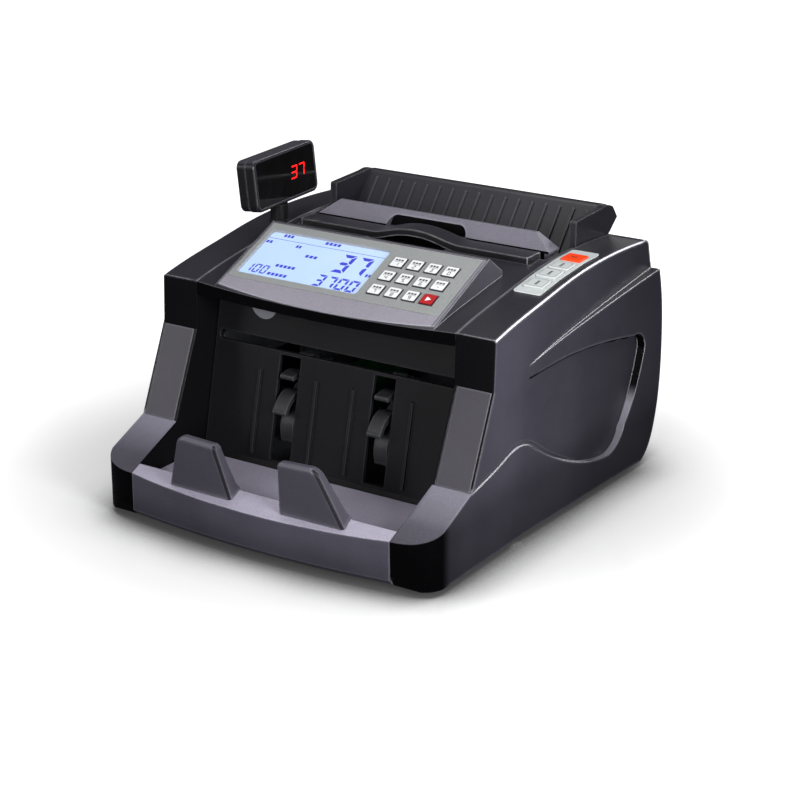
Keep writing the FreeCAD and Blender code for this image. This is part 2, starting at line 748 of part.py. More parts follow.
def hopper_rear_tray():
    tray = Piece("hopper_rear_tray")
    # the tray's sloping face runs straight from low to high
    low_y, low_z = 65.0, 127.4
    high_y, high_z = 103.2, 173.6
    sheet_outline = [
        (low_y, low_z), (high_y, high_z), arc((107.0, 175.2), (111.4, 173.4)),
        (118.0, 165.0), (108.2, 156.8), (106.4, 158.8), (113.4, 164.9), (109.4, 170.6),
        (106.0, 171.6), (67.4, 125.0), (58.0, 119.6), (57.0, 122.2)]
    tray.solid("YZ", [sheet_outline], -91.4, 91.4)
    side_wall = [
        (61.0, 146.0), (61.0, 172.4), arc((61.6, 173.8), (63.0, 174.2)), (96.0, 175.4),
        arc((105.0, 175.6), (111.8, 173.1)), (118.3, 164.9), (108.2, 156.8), (92.0, 146.0)]
    for side in (1, -1):
        tray.solid("YZ", [side_wall], *side_span(side, 91.0, 95.9))
    # ribs on the face, sunk a little into it
    slope = math.atan2(high_z - low_z, high_y - low_y)
    rib_height, sunk = 1.2, 0.6
    out_y = -math.sin(slope) * rib_height
    out_z = math.cos(slope) * rib_height
    y0, y1 = 72.0, 101.0
    z0 = low_z + (y0 - low_y) * math.tan(slope)
    z1 = low_z + (y1 - low_y) * math.tan(slope)
    rib = tray.solid("YZ", [[(y0, z0 - sunk), (y0 + out_y, z0 + out_z),
                             (y1 + out_y, z1 + out_z), (y1, z1 - sunk)]], -84.0, -82.4)
    rib_count, rib_pitch = 17, 10.4
    tray.row_x(rib, (rib_count - 1) * rib_pitch, rib_count)
    # openings over the kicker rollers
    for side in (1, -1):
        tray.cut("XY", [rect(side * 28.0, 52.0, side * 46.0, 79.5)], 115.0, 143.0)


def retard_block():
    block = Piece("retard_block")
    block.solid("YZ", [[(37.2, 118.4), (37.2, 119.8), (40.4, 119.8), (46.4, 131.4),
                        (51.5, 131.4), (51.5, 121.0), (46.5, 118.4)]], -22.0, 22.0)


# ------------------------------------------------------------ display head
# Drawn about its own centre: x along the width, -y towards the window, z up.
head_half_width = head_width / 2
head_half_height = head_height / 2
head_half_depth = head_depth / 2


def display_post():
    post = Piece("display_post")
    post.discs("XY", POST, [(post_radius, 157.0, 169.3), (post_radius - 2.5, 141.0, 180.0),
                            (post_radius + 0.8, 157.0, 158.6),
                            (post_radius - 1.0, 139.0, 141.0)])


def head_outline(inset, corner):
    return round_rect(*centred(0.0, 0.0, head_half_width - inset, head_half_height - inset),
                      corner)


def place_on_head(piece):
    yaw = FreeCAD.Rotation(Vector(0, 0, 1), number(head_yaw))
    lean = FreeCAD.Rotation(Vector(1, 0, 0), number(head_lean))
    piece.place(-104.3, 11.5, head_centre_z, yaw.multiply(lean))


def cut_post_hole(shell, y):
    shell.cut("XY", [circle((0.0, y), post_radius - 1.1)],
              -head_half_height - 4.0, -head_half_height + 9.0)


def display_front_shell():
    shell = Piece("display_front_shell")
    face = -head_half_depth
    shell.solid("XZ", [head_outline(0.0, 5.6)], face, 0.0)
    shell.edges(lambda edge: near(middle(edge).y, face, 0.01), 1.5)
    # seat of the window, then the opening behind it
    shell.cut("XZ", [head_outline(2.4, 2.6)], face - 1.0, face + 1.4)
    shell.cut("XZ", [head_outline(4.2, 2.0)], face, 1.0)
    place_on_head(shell)
    cut_post_hole(shell, 0.0)


def display_back_shell():
    shell = Piece("display_back_shell")
    shell.solid("XZ", [head_outline(0.4, 5.2)], 0.15, head_half_depth)
    shell.edges(lambda edge: near(middle(edge).y, head_half_depth, 0.01), 1.6)
    shell.cut("XZ", [head_outline(3.0, 2.4)], 0.0, head_half_depth - 2.2)
    cut_post_hole(shell, 0.6)
    place_on_head(shell)


def display_window():
    window = Piece("display_window")
    window.solid("XZ", [head_outline(2.6, 2.4)],
                 -head_half_depth + 0.25, -head_half_depth + 1.35)
    place_on_head(window)


# ------------------------------------------------------------ stacker
def stacker_drawer():
    drawer = Piece("stacker_drawer")
    half = seam_half - 0.35
    bottom = foot_top + 0.6
    # bowed front
    drawer.solid("XY", [[(-half, lip_front), arc((0.0, lip_front - 6.8), (half, lip_front)),
                         (half, -150.3), (-half, -150.3)]], bottom, 40.0)
    # sloping top of the rim
    drawer.cut("YZ", [[(-175.0, rim_height(-175.0)), (-145.0, rim_height(-145.0)),
                       (-145.0, 50.0), (-175.0, 50.0)]], -110.0, 110.0)
    drawer.edges(lambda edge: near(middle(edge).z, bottom) and middle(edge).y < -159.3
                 and edge.Length > 100, 3.6, kind="Chamfer")
    # level plate behind the front
    drawer.solid("YZ", [[(-150.5, 24.0), (-150.5, 26.6), (-92.0, 26.6), (-92.0, 24.0)]],
                 -half, half)
    drawer.edges(lambda edge: edge.Length > 100 and 29.0 < middle(edge).z < 38
                 and middle(edge).y < -149.5, 0.8)


def right_stop_paddle():
    paddle = Piece("right_stop_paddle")
    paddle.solid("XZ", [[(17.6, 32.8), (22.6, 66.0), arc((23.6, 69.0), (26.6, 70.0)),
                         (45.0, 70.9), arc((50.0, 70.0), (53.4, 66.0)), (65.6, 33.3)]],
                 -176.0, -144.0)
    # forward-leaning front and back faces
    before = [(-180.0, 20.0), (-160.4, 32.0), (-169.4, 71.5), (-169.4, 80.0), (-180.0, 80.0)]
    behind = [(-140.0, 20.0), (-140.0, 80.0), (-162.5, 80.0), (-162.6, 71.5), (-151.6, 40.0),
              (-149.6, 37.8), (-149.6, 20.0)]
    # the foot follows the rim's sloping top with a hairline gap
    hairline = 0.25
    below = [(-180.0, rim_height(-180.0) + hairline), (-140.0, rim_height(-140.0) + hairline),
             (-140.0, 20.0), (-180.0, 20.0)]
    for waste in (before, behind, below):
        paddle.cut("YZ", [waste], -70.0, 70.0)

    def on_front_face(edge):
        point = middle(edge)
        face_y = -160.4 - (point.z - 32.0) * 9.0 / 39.5
        return point.z > 34.5 and near(point.y, face_y, 0.25)

    def on_back_face(edge):
        point = middle(edge)
        face_y = -151.6 - (point.z - 40.0) * 11.0 / 31.5
        return point.z > 42 and edge.Length > 3 and near(point.y, face_y, 0.3)

    paddle.edges(on_front_face, 2.6)
    paddle.edges(on_back_face, 1.6)
    return paddle


def mirrored(label, source):
    """The other hand of a piece, kept tied to it."""
    mirror = doc.addObject("Part::Mirroring", label)
    mirror.Label = label
    mirror.Source = source.body
    mirror.Normal = Vector(1, 0, 0)
    mirror.Base = Vector(0, 0, 0)
    doc.recompute()
    return mirror


def exit_tab():
    tab = Piece("exit_tab")
    tab.solid("XZ", [[(-51.6, 132.4), (-51.6, 131.6), arc((-42.6, 125.4), (-33.6, 131.6)),
                      (-33.6, 132.4)]], -89.4, -87.9)


def stacker_back_plate():
    plate = Piece("stacker_back_plate")
    plate.solid("YZ", [[(-63.0, 131.8), (-60.6, 131.8), (-83.4, 27.0), (-90.0, 20.6),
                        (-90.0, 23.2), (-86.0, 27.6)]], -96.0, 96.0)
    # slots for the finger wheels, and a wide slot above them
    for x in (-36.0, 36.0):
        plate.cut("XZ", [rect(x - 8.0, 29.0, x + 8.0, 96.5)], -100.0, -55.0)
    plate.cut("XZ", [round_rect(-93.0, 98.6, 93.0, 104.6, 2.0)], -100.0, -55.0)
    # upright ribs on the front face
    rib = [(-85.0, 30.0), (-86.9, 31.5), (-74.9, 85.0), (-72.7, 86.0)]
    for x in (-14.0, 14.0, 58.0, -58.0):
        plate.solid("YZ", [rib], x - 1.0, x + 1.0)


# ------------------------------------------------------------ chassis
SCREWS = [(side * 107.0, y) for side in (1, -1) for y in (-30.0, 70.0)]
FEET = [(side * 86.0, y) for y in (-134.0, 82.0) for side in (1, -1)]
floor_top = 6.8
foot_stem_radius = 3.0
screw_radius = 1.5


def base_chassis():
    base = Piece("base_chassis")
    floor = [(-96.6, -147.5), (96.6, -147.5), (96.6, -54.0), (121.4, -54.0), (121.4, 95.4),
             (-121.4, 95.4), (-121.4, -54.0), (-96.6, -54.0)]
    base.solid("XY", [floor], foot_top, floor_top)
    # upright walls at the front sides, and three ribs between them
    for side in (1, -1):
        base.solid("YZ", [[(-147.0, 6.0), (-147.0, 20.0), (-58.0, 20.0), (-58.0, 6.0)]],
                   *side_span(side, 94.4, 96.6))
    for x in (-60.0, 0.0, 60.0):
        base.solid("YZ", [[(-146.0, 6.0), (-146.0, 22.0), (-94.0, 22.0), (-94.0, 6.0)]],
                   x - 1.2, x + 1.2)
    base.cut("XY", [circle(spot, screw_radius + 0.15) for spot in SCREWS], 2.0, 8.0)
    base.cut("XY", [circle(spot, foot_stem_radius) for spot in FEET], 2.0, 8.0)


def rubber_feet():
    feet = Piece("rubber_feet")
    feet.solid("XY", [circle(spot, foot_radius) for spot in FEET], 0.0, foot_top)
    feet.solid("XY", [circle(spot, foot_stem_radius) for spot in FEET], 3.5, floor_top)
    feet.edges(at_height(0.0), 0.8)


def frame_plate(label, side):
    plate = Piece(label)
    across = side_span(side, 99.0, 104.0)
    # upright, narrower low down at the front, and its floor flange
    upright = [(-52.0, floor_top), (-52.0, 40.0), (-68.0, 50.0), (-68.0, 84.0),
               (-30.0, 124.0), (90.0, 130.0), (92.0, 90.0), (92.0, floor_top)]
    plate.solid("YZ", [upright],
                *side_span(side, frame_inner, frame_inner + frame_thickness))
    flange = [(-50.0, floor_top), (-50.0, 8.8), (90.0, 8.8), (90.0, floor_top)]
    plate.solid("YZ", [flange], *side_span(side, frame_inner, 114.0))
    for centre in (FEED_SHAFT, KICKER_SHAFT, STACKER_SHAFT):
        plate.cut("YZ", [circle(centre, shaft_radius + running_gap)], *across)
    own_screws = [spot for spot in SCREWS if spot[0] * side > 0]
    plate.cut("XY", [circle(spot, screw_radius) for spot in own_screws], 6.0, 9.5)
    if side > 0:
        # hole for the motor's boss
        plate.cut("YZ", [circle(MOTOR, 8.0)], *across)
    # large window
    plate.cut("YZ", [round_rect(-10.0, 30.0, 30.0, 70.0, 8.0)], *across)


def chassis_screws():
    screws = Piece("chassis_screws")
    screws.solid("XY", [circle(spot, 3.0) for spot in SCREWS], 2.3, foot_top)
    screws.solid("XY", [circle(spot, screw_radius) for spot in SCREWS], 3.5, 12.0)
    # slots in the heads
    screws.cut("XY", [rect(*centred(x, y, 2.2, 0.4)) for x, y in SCREWS], 2.0, 2.9)


# ------------------------------------------------------------ rollers and drive
FEED_PULLEY = 11.0                # pulley radii
KICKER_PULLEY = 11.0
STACKER_PULLEY = 15.0
MOTOR_PULLEY = 7.0
PULLEY_X = (104.2, 112.8)
FLANGE_X = (103.2, 104.2)


def shaft(label, centre, pulley_radius):
    """Shaft with a collar inside the left plate and a flanged pulley at the right."""
    Piece(label).discs("YZ", centre, [
        (shaft_radius, -104.0, 113.6), (shaft_radius + 2.5, -99.8, -97.6),
        (pulley_radius, *PULLEY_X), (pulley_radius + 1.4, *FLANGE_X)])


def feed_rollers():
    rollers = Piece("feed_rollers")
    for x in (-74.0, -12.0, 50.0):
        rollers.solid("YZ", [circle(FEED_SHAFT, 14.0), circle(FEED_SHAFT, shaft_radius)],
                      x, x + 24.0)


def kicker_rollers():
    """Rollers with a full-radius upper half and a flattened lower half."""
    rollers = Piece("kicker_rollers")
    y, z = KICKER_SHAFT
    outline = [(y - 13.4, z), arc((y, z + 13.4), (y + 13.4, z)),
               arc((y + 9.0, z - 9.0), (y, z - 11.4)),
               arc((y - 9.0, z - 9.0), (y - 13.4, z))]
    for x in (-44.0, 30.0):
        rollers.solid("YZ", [outline, circle(KICKER_SHAFT, shaft_radius)], x, x + 14.0)


def finger_wheel_outline():
    """A hub with eight thin curved fingers. Angles are in radians."""
    hub = 13.0
    tip = number(finger_wheel_radius)
    count = 8
    half_gap = 0.24               # back from a root to a point on the hub between fingers

    def at(radius, angle):
        return (number(stacker_shaft_y) + radius * math.cos(angle),
                number(stacker_shaft_z) + radius * math.sin(angle))

    outline = []
    for finger in range(count):
        turn = 2 * math.pi * finger / count
        root = at(hub, turn)
        outline.append(arc(at(hub, turn - half_gap), root) if finger else root)
        outline.append(curve([at(21.0, turn + 0.20), at(tip - 1.0, turn + 0.72)]))
        outline.append(arc(at(tip, turn + 0.78), at(tip - 2.4, turn + 0.84)))
        outline.append(curve([at(20.0, turn + 0.40), at(hub, turn + 0.30)]))
    outline.append(arc(at(hub, -half_gap), outline[0]))
    return outline


def stacker_wheels():
    wheels = Piece("stacker_wheels")
    for x in (-41.0, 31.0):
        wheels.solid("YZ", [finger_wheel_outline(), circle(STACKER_SHAFT, shaft_radius)],
                     x, x + 10.0)


def main_motor():
    motor = Piece("main_motor")
    can_left = 42.0
    # can, left end cap and right boss, with a bore for the pulley's shaft
    motor.discs("YZ", MOTOR, [(20.0, can_left, 96.0), (15.0, 38.0, 42.5), (7.9, 95.5, 100.5)])
    motor.cut("YZ", [circle(MOTOR, 2.05)], 80.0, 102.0)
    motor.edges(lambda edge: near(middle(edge).x, can_left), 1.5)
    # foot bracket that stands on the chassis
    motor.solid("YZ", [[(45.0, floor_top), (45.0, 40.0), (75.0, 40.0), (75.0, floor_top)]],
                60.0, 64.0)


def motor_pulley():
    Piece("motor_pulley").discs("YZ", MOTOR, [
        (2.0, 81.0, 114.0), (MOTOR_PULLEY, *PULLEY_X), (MOTOR_PULLEY + 1.6, *FLANGE_X)])


def belt_outline(wheels, offset):
    """Closed line at an offset round (y, z, radius) wheels, given anticlockwise in YZ."""
    next_wheels = wheels[1:] + wheels[:1]
    runs = []
    for (y0, z0, radius0), (y1, z1, radius1) in zip(wheels, next_wheels):
        length = math.hypot(y1 - y0, z1 - z0)
        along_y = (y1 - y0) / length
        along_z = (z1 - z0) / length
        lean = (radius0 - radius1) / length
        across = math.sqrt(1 - lean * lean)
        # unit vector from both centres to their tangent points
        out_y = along_y * lean + along_z * across
        out_z = along_z * lean - along_y * across
        reach0 = radius0 + offset
        reach1 = radius1 + offset
        runs.append(((y0 + out_y * reach0, z0 + out_z * reach0),
                     (y1 + out_y * reach1, z1 + out_z * reach1)))
    outline = [runs[0][0]]
    for run, next_run, (y, z, radius) in zip(runs, runs[1:] + runs[:1], next_wheels):
        arrive = run[1]
        leave = next_run[0]
        start = math.atan2(arrive[1] - z, arrive[0] - y)
        stop = math.atan2(leave[1] - z, leave[0] - y)
        while stop < start:
            stop += 2 * math.pi
        half_way = (start + stop) / 2
        reach = radius + offset
        outline.append(arrive)
        outline.append(arc((y + reach * math.cos(half_way), z + reach * math.sin(half_way)),
                           leave))
    return outline


def drive_belt():
    belt = Piece("drive_belt")
    wheels = [(number(y), number(z), radius) for (y, z), radius in (
        (STACKER_SHAFT, STACKER_PULLEY), (MOTOR, MOTOR_PULLEY),
        (KICKER_SHAFT, KICKER_PULLEY), (FEED_SHAFT, FEED_PULLEY))]
    belt.solid("YZ", [belt_outline(wheels, 1.5), belt_outline(wheels, 0.08)], 105.0, 112.0)


# ------------------------------------------------------------ power supply
def power_supply():
    supply = Piece("power_supply")
    # board, box, two upright cylinders and four standoffs
    supply.solid("XY", [rect(-92.0, 20.0, -34.0, 92.0)], 10.0, 11.6)
    supply.solid("XY", [rect(-86.0, 50.0, -48.0, 84.0)], 11.5, 41.0)
    supply.solid("XY", [circle((-76.0, 34.0), 7.0)], 11.5, 34.0)
    supply.solid("XY", [circle((-56.0, 34.0), 5.0)], 11.5, 30.0)
    supply.solid("XY", [circle((x, y), 2.4) for x in (-89.0, -37.0) for y in (24.0, 88.0)],
                 floor_top, 10.2)


# ------------------------------------------------------------ rear cover
INLET = (-78.0, 62.0)             # (x, z) centres of the fittings on the rear
SWITCH = (-44.0, 62.0)
KNOB = (66.0, 126.0)


def rear_cover():
    cover = Piece("rear_cover")
    outline = [
        (108.0, 154.9), (113.6, 135.4), curve(REAR), (98.8, 7.2),
        curve([(107.9, 17.6), (113.0, 29.2), (116.1, 41.5), (118.4, 61.0), (118.6, 88.0),
               (115.6, 118.0), (111.1, 135.0)]),
        (105.5, 154.1)]
    cover.solid("YZ", [outline], -centre_half, centre_half)
    # row of upright slots
    slot = cover.cut("XZ", [round_rect(-58.0, 84.0, -54.5, 116.0, 1.7)], 100.0, 130.0)
    cover.row_x(slot, 110.0, 15)
    # openings for the inlet, the switch and the knob's stem
    cover.cut("XZ", [rect(*centred(*INLET, 13.8, 10.2)), rect(*centred(*SWITCH, 6.6, 10.9))],
              105.0, 130.0)
    cover.cut("XZ", [circle(KNOB, 3.2)], 105.0, 130.0)


def power_inlet():
    inlet = Piece("power_inlet")
    # flange, housing, socket and its three contacts
    inlet.solid("XZ", [round_rect(*centred(*INLET, 15.6, 12.0), 2.0)], 121.5, 123.6)
    inlet.solid("XZ", [rect(*centred(*INLET, 13.6, 10.0))], 104.0, 121.6)
    inlet.cut("XZ", [round_rect(*centred(*INLET, 11.6, 8.2), 2.5)], 108.0, 126.0)
    contacts = [(-7.0, -1.6), (7.0, -1.6), (0.0, 2.2)]
    inlet.solid("XZ", [rect(*centred(INLET[0] + x, INLET[1] + z, 1.0, 2.0))
                       for x, z in contacts], 107.0, 119.0)


def power_switch():
    switch = Piece("power_switch")
    x, z = SWITCH
    rocker = [(112.0, 54.4), (121.6, 53.6), (122.4, 62.0), (124.4, 70.4), (112.0, 69.6)]
    switch.solid("YZ", [rocker], x - 5.6, x + 5.6)
    switch.edges(lambda edge: middle(edge).y > 121.0
                 and near(ends(edge)[0].x, ends(edge)[1].x, 0.01), 0.6)
    # round pivot stubs on the rocking axis
    switch.solid("YZ", [circle((114.2, z), 1.5)], x - 7.2, x + 7.2)


def gap_adjust_knob():
    knob = Piece("gap_adjust_knob")
    knob.discs("XZ", KNOB, [(3.0, 96.0, 119.0), (knob_radius, 118.6, 128.0)])
    # grip flutes round the rim
    flute = knob.cut("XZ", [circle((KNOB[0] + 9.7, KNOB[1]), 1.3)], 118.0, 129.0)
    axis = knob.sketch("XZ", [])
    axis.AttachmentOffset = FreeCAD.Placement(Vector(*KNOB, 0), FreeCAD.Rotation())
    doc.recompute()
    knob.ring(flute, (axis, ["N_Axis"]), 14)


# ------------------------------------------------------------ build
right_side_cover()
left_side_cover()
cheek_trim("right_cheek_trim", 1)
cheek_trim("left_cheek_trim", -1)

centre_cover()
console_bezel()
keypad_overlay()
lcd_lens()
lcd_module()
control_board()
for row_up, labels in KEY_ROWS:
    for column_x, key_label in zip(KEY_COLUMNS, labels):
        console_key(key_label, column_x, row_up)

side_key_plate()
for side_key_entry in SIDE_KEYS:
    side_key(*side_key_entry)

carry_handle()
handle_pivot_pins()

hopper_front_guide()
hopper_rear_tray()
retard_block()

display_post()
display_front_shell()
display_back_shell()
display_window()

stacker_drawer()
left_paddle = mirrored("left_stop_paddle", right_stop_paddle())
exit_tab()
stacker_back_plate()

base_chassis()
rubber_feet()
frame_plate("right_frame_plate", 1)
frame_plate("left_frame_plate", -1)
chassis_screws()

shaft("feed_shaft", FEED_SHAFT, FEED_PULLEY)
shaft("kicker_shaft", KICKER_SHAFT, KICKER_PULLEY)
shaft("stacker_shaft", STACKER_SHAFT, STACKER_PULLEY)
feed_rollers()
kicker_rollers()
stacker_wheels()
main_motor()
motor_pulley()
drive_belt()
power_supply()

rear_cover()
power_inlet()
power_switch()
gap_adjust_knob()

# Move every body to the footprint's middle; the mirrored paddle follows its source.
doc.recompute()
for built in pieces:
    bind(built.body, "Placement.Base.y", frame_shift_y + built.home_y)
doc.recompute()

# ------------------------------------------------------------ check and export
exported = [built.body for built in pieces] + [left_paddle]
faults = [obj.Name + ":" + ",".join(obj.State) for obj in doc.Objects
          if "Invalid" in obj.State or "Error" in obj.State]
for obj in exported:
    if obj.Shape.isNull() or not obj.Shape.isValid() or obj.Shape.Volume <= 0:
        faults.append(obj.Label + ": shape")
if faults:
    raise SystemExit("failed: " + "; ".join(faults))

os.makedirs("parts", exist_ok=True)
for obj in exported:
    obj.Shape.exportStep("parts/%s.step" % obj.Label)
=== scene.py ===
# Banknote counting machine: finishes, printed details and studio, laid on the CAD pieces.
# Metres, +Z up. The width runs along X, the front faces -Y and the console slopes up to the rear.
import bpy, bmesh, math, random
from collections import namedtuple
from functools import cached_property
from mathutils import Matrix, Vector


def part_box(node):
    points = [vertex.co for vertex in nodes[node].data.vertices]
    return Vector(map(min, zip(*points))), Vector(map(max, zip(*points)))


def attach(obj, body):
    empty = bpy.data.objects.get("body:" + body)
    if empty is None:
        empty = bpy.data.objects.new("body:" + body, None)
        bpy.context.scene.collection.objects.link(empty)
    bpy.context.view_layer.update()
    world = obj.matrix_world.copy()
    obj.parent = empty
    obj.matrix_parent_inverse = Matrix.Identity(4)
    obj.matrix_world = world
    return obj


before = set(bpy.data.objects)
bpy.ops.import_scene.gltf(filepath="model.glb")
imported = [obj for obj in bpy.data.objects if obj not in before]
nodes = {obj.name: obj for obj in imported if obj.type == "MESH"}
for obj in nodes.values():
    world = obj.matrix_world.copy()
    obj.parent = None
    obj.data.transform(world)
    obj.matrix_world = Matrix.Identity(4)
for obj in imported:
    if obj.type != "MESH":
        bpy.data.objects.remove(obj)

random.seed(7)
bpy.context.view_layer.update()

# ================================================================ dimensions
MM = 0.001                      # details are drawn in mm
POST_Y = 11.0                   # middle of the display post in the drawing
post_low, post_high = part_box("display_post")
ORIGIN_Y = round((post_low[1] + post_high[1]) / 2 / MM - POST_Y, 2)    # drawing origin along Y, mm


def axes_frame(x_axis, y_axis, z_axis, origin):
    """Matrix of a drawing plane: x and y lie on it, z stands out of it."""
    matrix = Matrix((x_axis, y_axis, z_axis)).transposed().to_4x4()
    matrix.translation = origin
    return matrix


# The console's drawing plane: x across, y up the slope
SLOPE = math.radians(23.22)
CONSOLE_ORIGIN = Vector((0, -87.5 + ORIGIN_Y, 141.0)) * MM
CONSOLE_NORMAL = Vector((0, -math.sin(SLOPE), math.cos(SLOPE)))
CONSOLE = axes_frame(Vector((1, 0, 0)), Vector((0, math.cos(SLOPE), math.sin(SLOPE))),
                     CONSOLE_NORMAL, CONSOLE_ORIGIN)

# The swivel display's drawing plane: x along its face, y up, z out of the face
DISPLAY_CENTRE = Vector((-104.3, 11.5 + ORIGIN_Y, 187.8)) * MM
DISPLAY_YAW, DISPLAY_LEAN = math.radians(93.75), math.radians(-6.0)
DISPLAY_FACE = (Matrix.Translation(DISPLAY_CENTRE) @ Matrix.Rotation(DISPLAY_YAW, 4, "Z")
                @ Matrix.Rotation(DISPLAY_LEAN, 4, "X") @ Matrix.Rotation(math.radians(90), 4, "X"))

NOISE_RANGE = (0.3, 0.7)        # the stretch of a noise's values that drives a change


# ================================================================ shader helper
class Shader:
    """A material with one Principled surface, and short ways to add nodes to it."""

    def __init__(self, name):
        self.material = bpy.data.materials.new(name)
        self.material.use_nodes = True
        self.tree = self.material.node_tree
        self.tree.nodes.clear()
        self.output = self.add("OutputMaterial")
        self.surface = self.add("BsdfPrincipled")
        self.link(self.surface.outputs[0], self.output.inputs[0])

    @cached_property
    def coords(self):
        return self.add("TexCoord").outputs["Object"]

    @cached_property
    def face_normal(self):
        return self.add("NewGeometry").outputs["True Normal"]

    def add(self, kind, **settings):
        node = self.tree.nodes.new("ShaderNode" + kind)
        for key, value in settings.items():
            setattr(node, key, value)
        return node

    def link(self, source, socket):
        self.tree.links.new(source, socket)

    def fill(self, node, inputs):
        """Link or set a node's inputs; a colour without alpha gets alpha 1."""
        for key, value in inputs.items():
            socket = node.inputs[key]
            if isinstance(value, bpy.types.NodeSocket):
                self.link(value, socket)
            elif isinstance(value, tuple):
                socket.default_value = (*value, 1)[:len(socket.default_value)]
            else:
                socket.default_value = value

    def set(self, inputs):
        self.fill(self.surface, inputs)

    def math(self, operation, a, b=0.0, c=0.0):
        node = self.add("Math", operation=operation)
        self.fill(node, {0: a, 1: b, 2: c})
        return node.outputs[0]

    def times(self, a, b):
        return self.math("MULTIPLY", a, b)

    def noise(self, scale, detail=3.0, rough=0.55, vector=None):
        node = self.add("TexNoise")
        self.fill(node, {"Scale": scale, "Detail": detail, "Roughness": rough,
                         "Vector": self.coords if vector is None else vector})
        return node.outputs[0]

    def voronoi(self, scale):
        node = self.add("TexVoronoi")
        self.fill(node, {"Scale": scale, "Vector": self.coords})
        return node.outputs["Distance"]

    def ramp(self, factor, stops):
        """Eased grey ramp through (position, value) stops."""
        node = self.add("ValToRGB")
        node.color_ramp.interpolation = "EASE"
        elements = node.color_ramp.elements
        while len(elements) < len(stops):
            elements.new(0.5)
        for element, (position, value) in zip(elements, stops):
            element.position = position
            element.color = (value, value, value, 1)
        self.link(factor, node.inputs[0])
        return node.outputs[0]

    def span(self, value, over, to=(0.0, 1.0), smooth=False):
        """Map the range `over` on to the range `to`, clamped."""
        node = self.add("MapRange", clamp=True)
        if smooth:
            node.interpolation_type = "SMOOTHSTEP"
        self.fill(node, {"Value": value, "From Min": over[0], "From Max": over[1],
                         "To Min": to[0], "To Max": to[1]})
        return node.outputs[0]

    def mix(self, factor, a, b, mode="MIX"):
        node = self.add("Mix", data_type="RGBA", blend_type=mode)
        self.fill(node, {0: factor, 6: a, 7: b})
        return node.outputs[2]

    def xyz(self, vector):
        node = self.add("SeparateXYZ")
        self.link(vector, node.inputs[0])
        return node.outputs

    def bump(self, height, strength, distance, normal=None):
        node = self.add("Bump")
        self.fill(node, {"Strength": strength, "Distance": distance, "Height": height})
        if normal is not None:
            self.link(normal, node.inputs["Normal"])
        return node.outputs[0]

    def bevel(self, radius):
        node = self.add("Bevel", samples=4)
        self.fill(node, {"Radius": radius})
        return node.outputs[0]

    def occlusion(self, distance, **settings):
        node = self.add("AmbientOcclusion", **settings)
        self.fill(node, {"Distance": distance})
        return node.outputs["AO"]


def srgb(code):
    """Linear colour from a hex code."""
    def linear(c):
        return c / 12.92 if c <= 0.04045 else ((c + 0.055) / 1.055) ** 2.4
    return tuple(linear(int(code[i:i + 2], 16) / 255) for i in (0, 2, 4))


# ================================================================ masks
# A mask is a function that adds nodes to a shader and returns a value from 0 to 1.
# Each pair of numbers gives where the mask is 0 and where it is 1. Places are in mm.
def in_metres(axis, place):
    return (place + (ORIGIN_Y if axis == "y" else 0.0)) * MM


def coordinate(mat, axis):
    return mat.xyz(mat.coords)["xyz".index(axis)]


def facing(direction, off, on):
    """Faces turned towards a direction such as "+z", by that part of their normal."""
    def mask(mat):
        part = mat.xyz(mat.face_normal)["xyz".index(direction[1])]
        return mat.span(mat.times(part, float(direction[0] + "1")), (off, on))
    return mask


def along(axis, off, on):
    """Rises smoothly between two places on an axis."""
    def mask(mat):
        ends = (in_metres(axis, off), in_metres(axis, on))
        return mat.span(coordinate(mat, axis), ends, smooth=True)
    return mask


def off_centre(off, on):
    """Rises smoothly with the distance from the middle plane, alike on both sides."""
    def mask(mat):
        distance = mat.math("ABSOLUTE", coordinate(mat, "x"))
        return mat.span(distance, (off * MM, on * MM), smooth=True)
    return mask


def both(*masks):
    """Product of all the masks."""
    def mask(mat):
        value = masks[0](mat)
        for other in masks[1:]:
            value = mat.times(value, other(mat))
        return value
    return mask


def at_least(low, inner):
    return lambda mat: mat.math("MAXIMUM", inner(mat), low)


def level(axis, *stops):
    """Tone factor eased between (mm, factor) stops along an axis."""
    shift = ORIGIN_Y if axis == "y" else 0.0
    low, high = stops[0][0] + shift, stops[-1][0] + shift

    def factor(mat):
        place = mat.span(coordinate(mat, axis), (low * MM, high * MM))
        return mat.ramp(place, [((at + shift - low) / (high - low), tone) for at, tone in stops])
    return factor


def unless(mask, factor, value):
    """A tone factor that gives way to a plain value where the mask is on."""
    return lambda mat: mat.span(mask(mat), (0.0, 1.0), (factor(mat), value))


front_face = facing("-y", 0.45, 0.85)

# side covers and drawer
# painted light: the upward faces of the low rim, in a lighter tone
rim_top = both(facing("+z", 0.62, 0.72), along("z", 58.0, 56.0))
# painted shade: the front part of the rim's corner, near black
rim_corner = both(along("y", -135.0, -145.0), along("z", 60.0, 58.0))
# near black: painted shade on the front faces over the cheek, and the dark joint beside the cheek
brow = both(front_face, along("z", 54.0, 57.0))
# painted shade: the inner wall of the stacker pocket, near black
inner_wall = both(off_centre(99.2, 98.4), along("z", 139.4, 138.6))
# painted shade: the side covers' top deck, in a darker tone
top_deck = both(facing("+z", 0.78, 0.86), along("z", 138.0, 139.0))
# painted shade: the walls of the recess on the side bulge, near black
recess_return = both(facing("+x", 0.6, 0.3), facing("-x", 0.6, 0.3), off_centre(124.45, 124.9),
                     along("z", 112.0, 106.0), along("y", 101.0, 99.4))
# painted highlight: the low upward slope of the side bulge, in a pale tone
low_slope = both(facing("+z", 0.18, 0.42), off_centre(124.45, 124.9),
                 along("z", 62.0, 48.0), along("z", 15.0, 19.0), along("y", 22.0, 44.0))
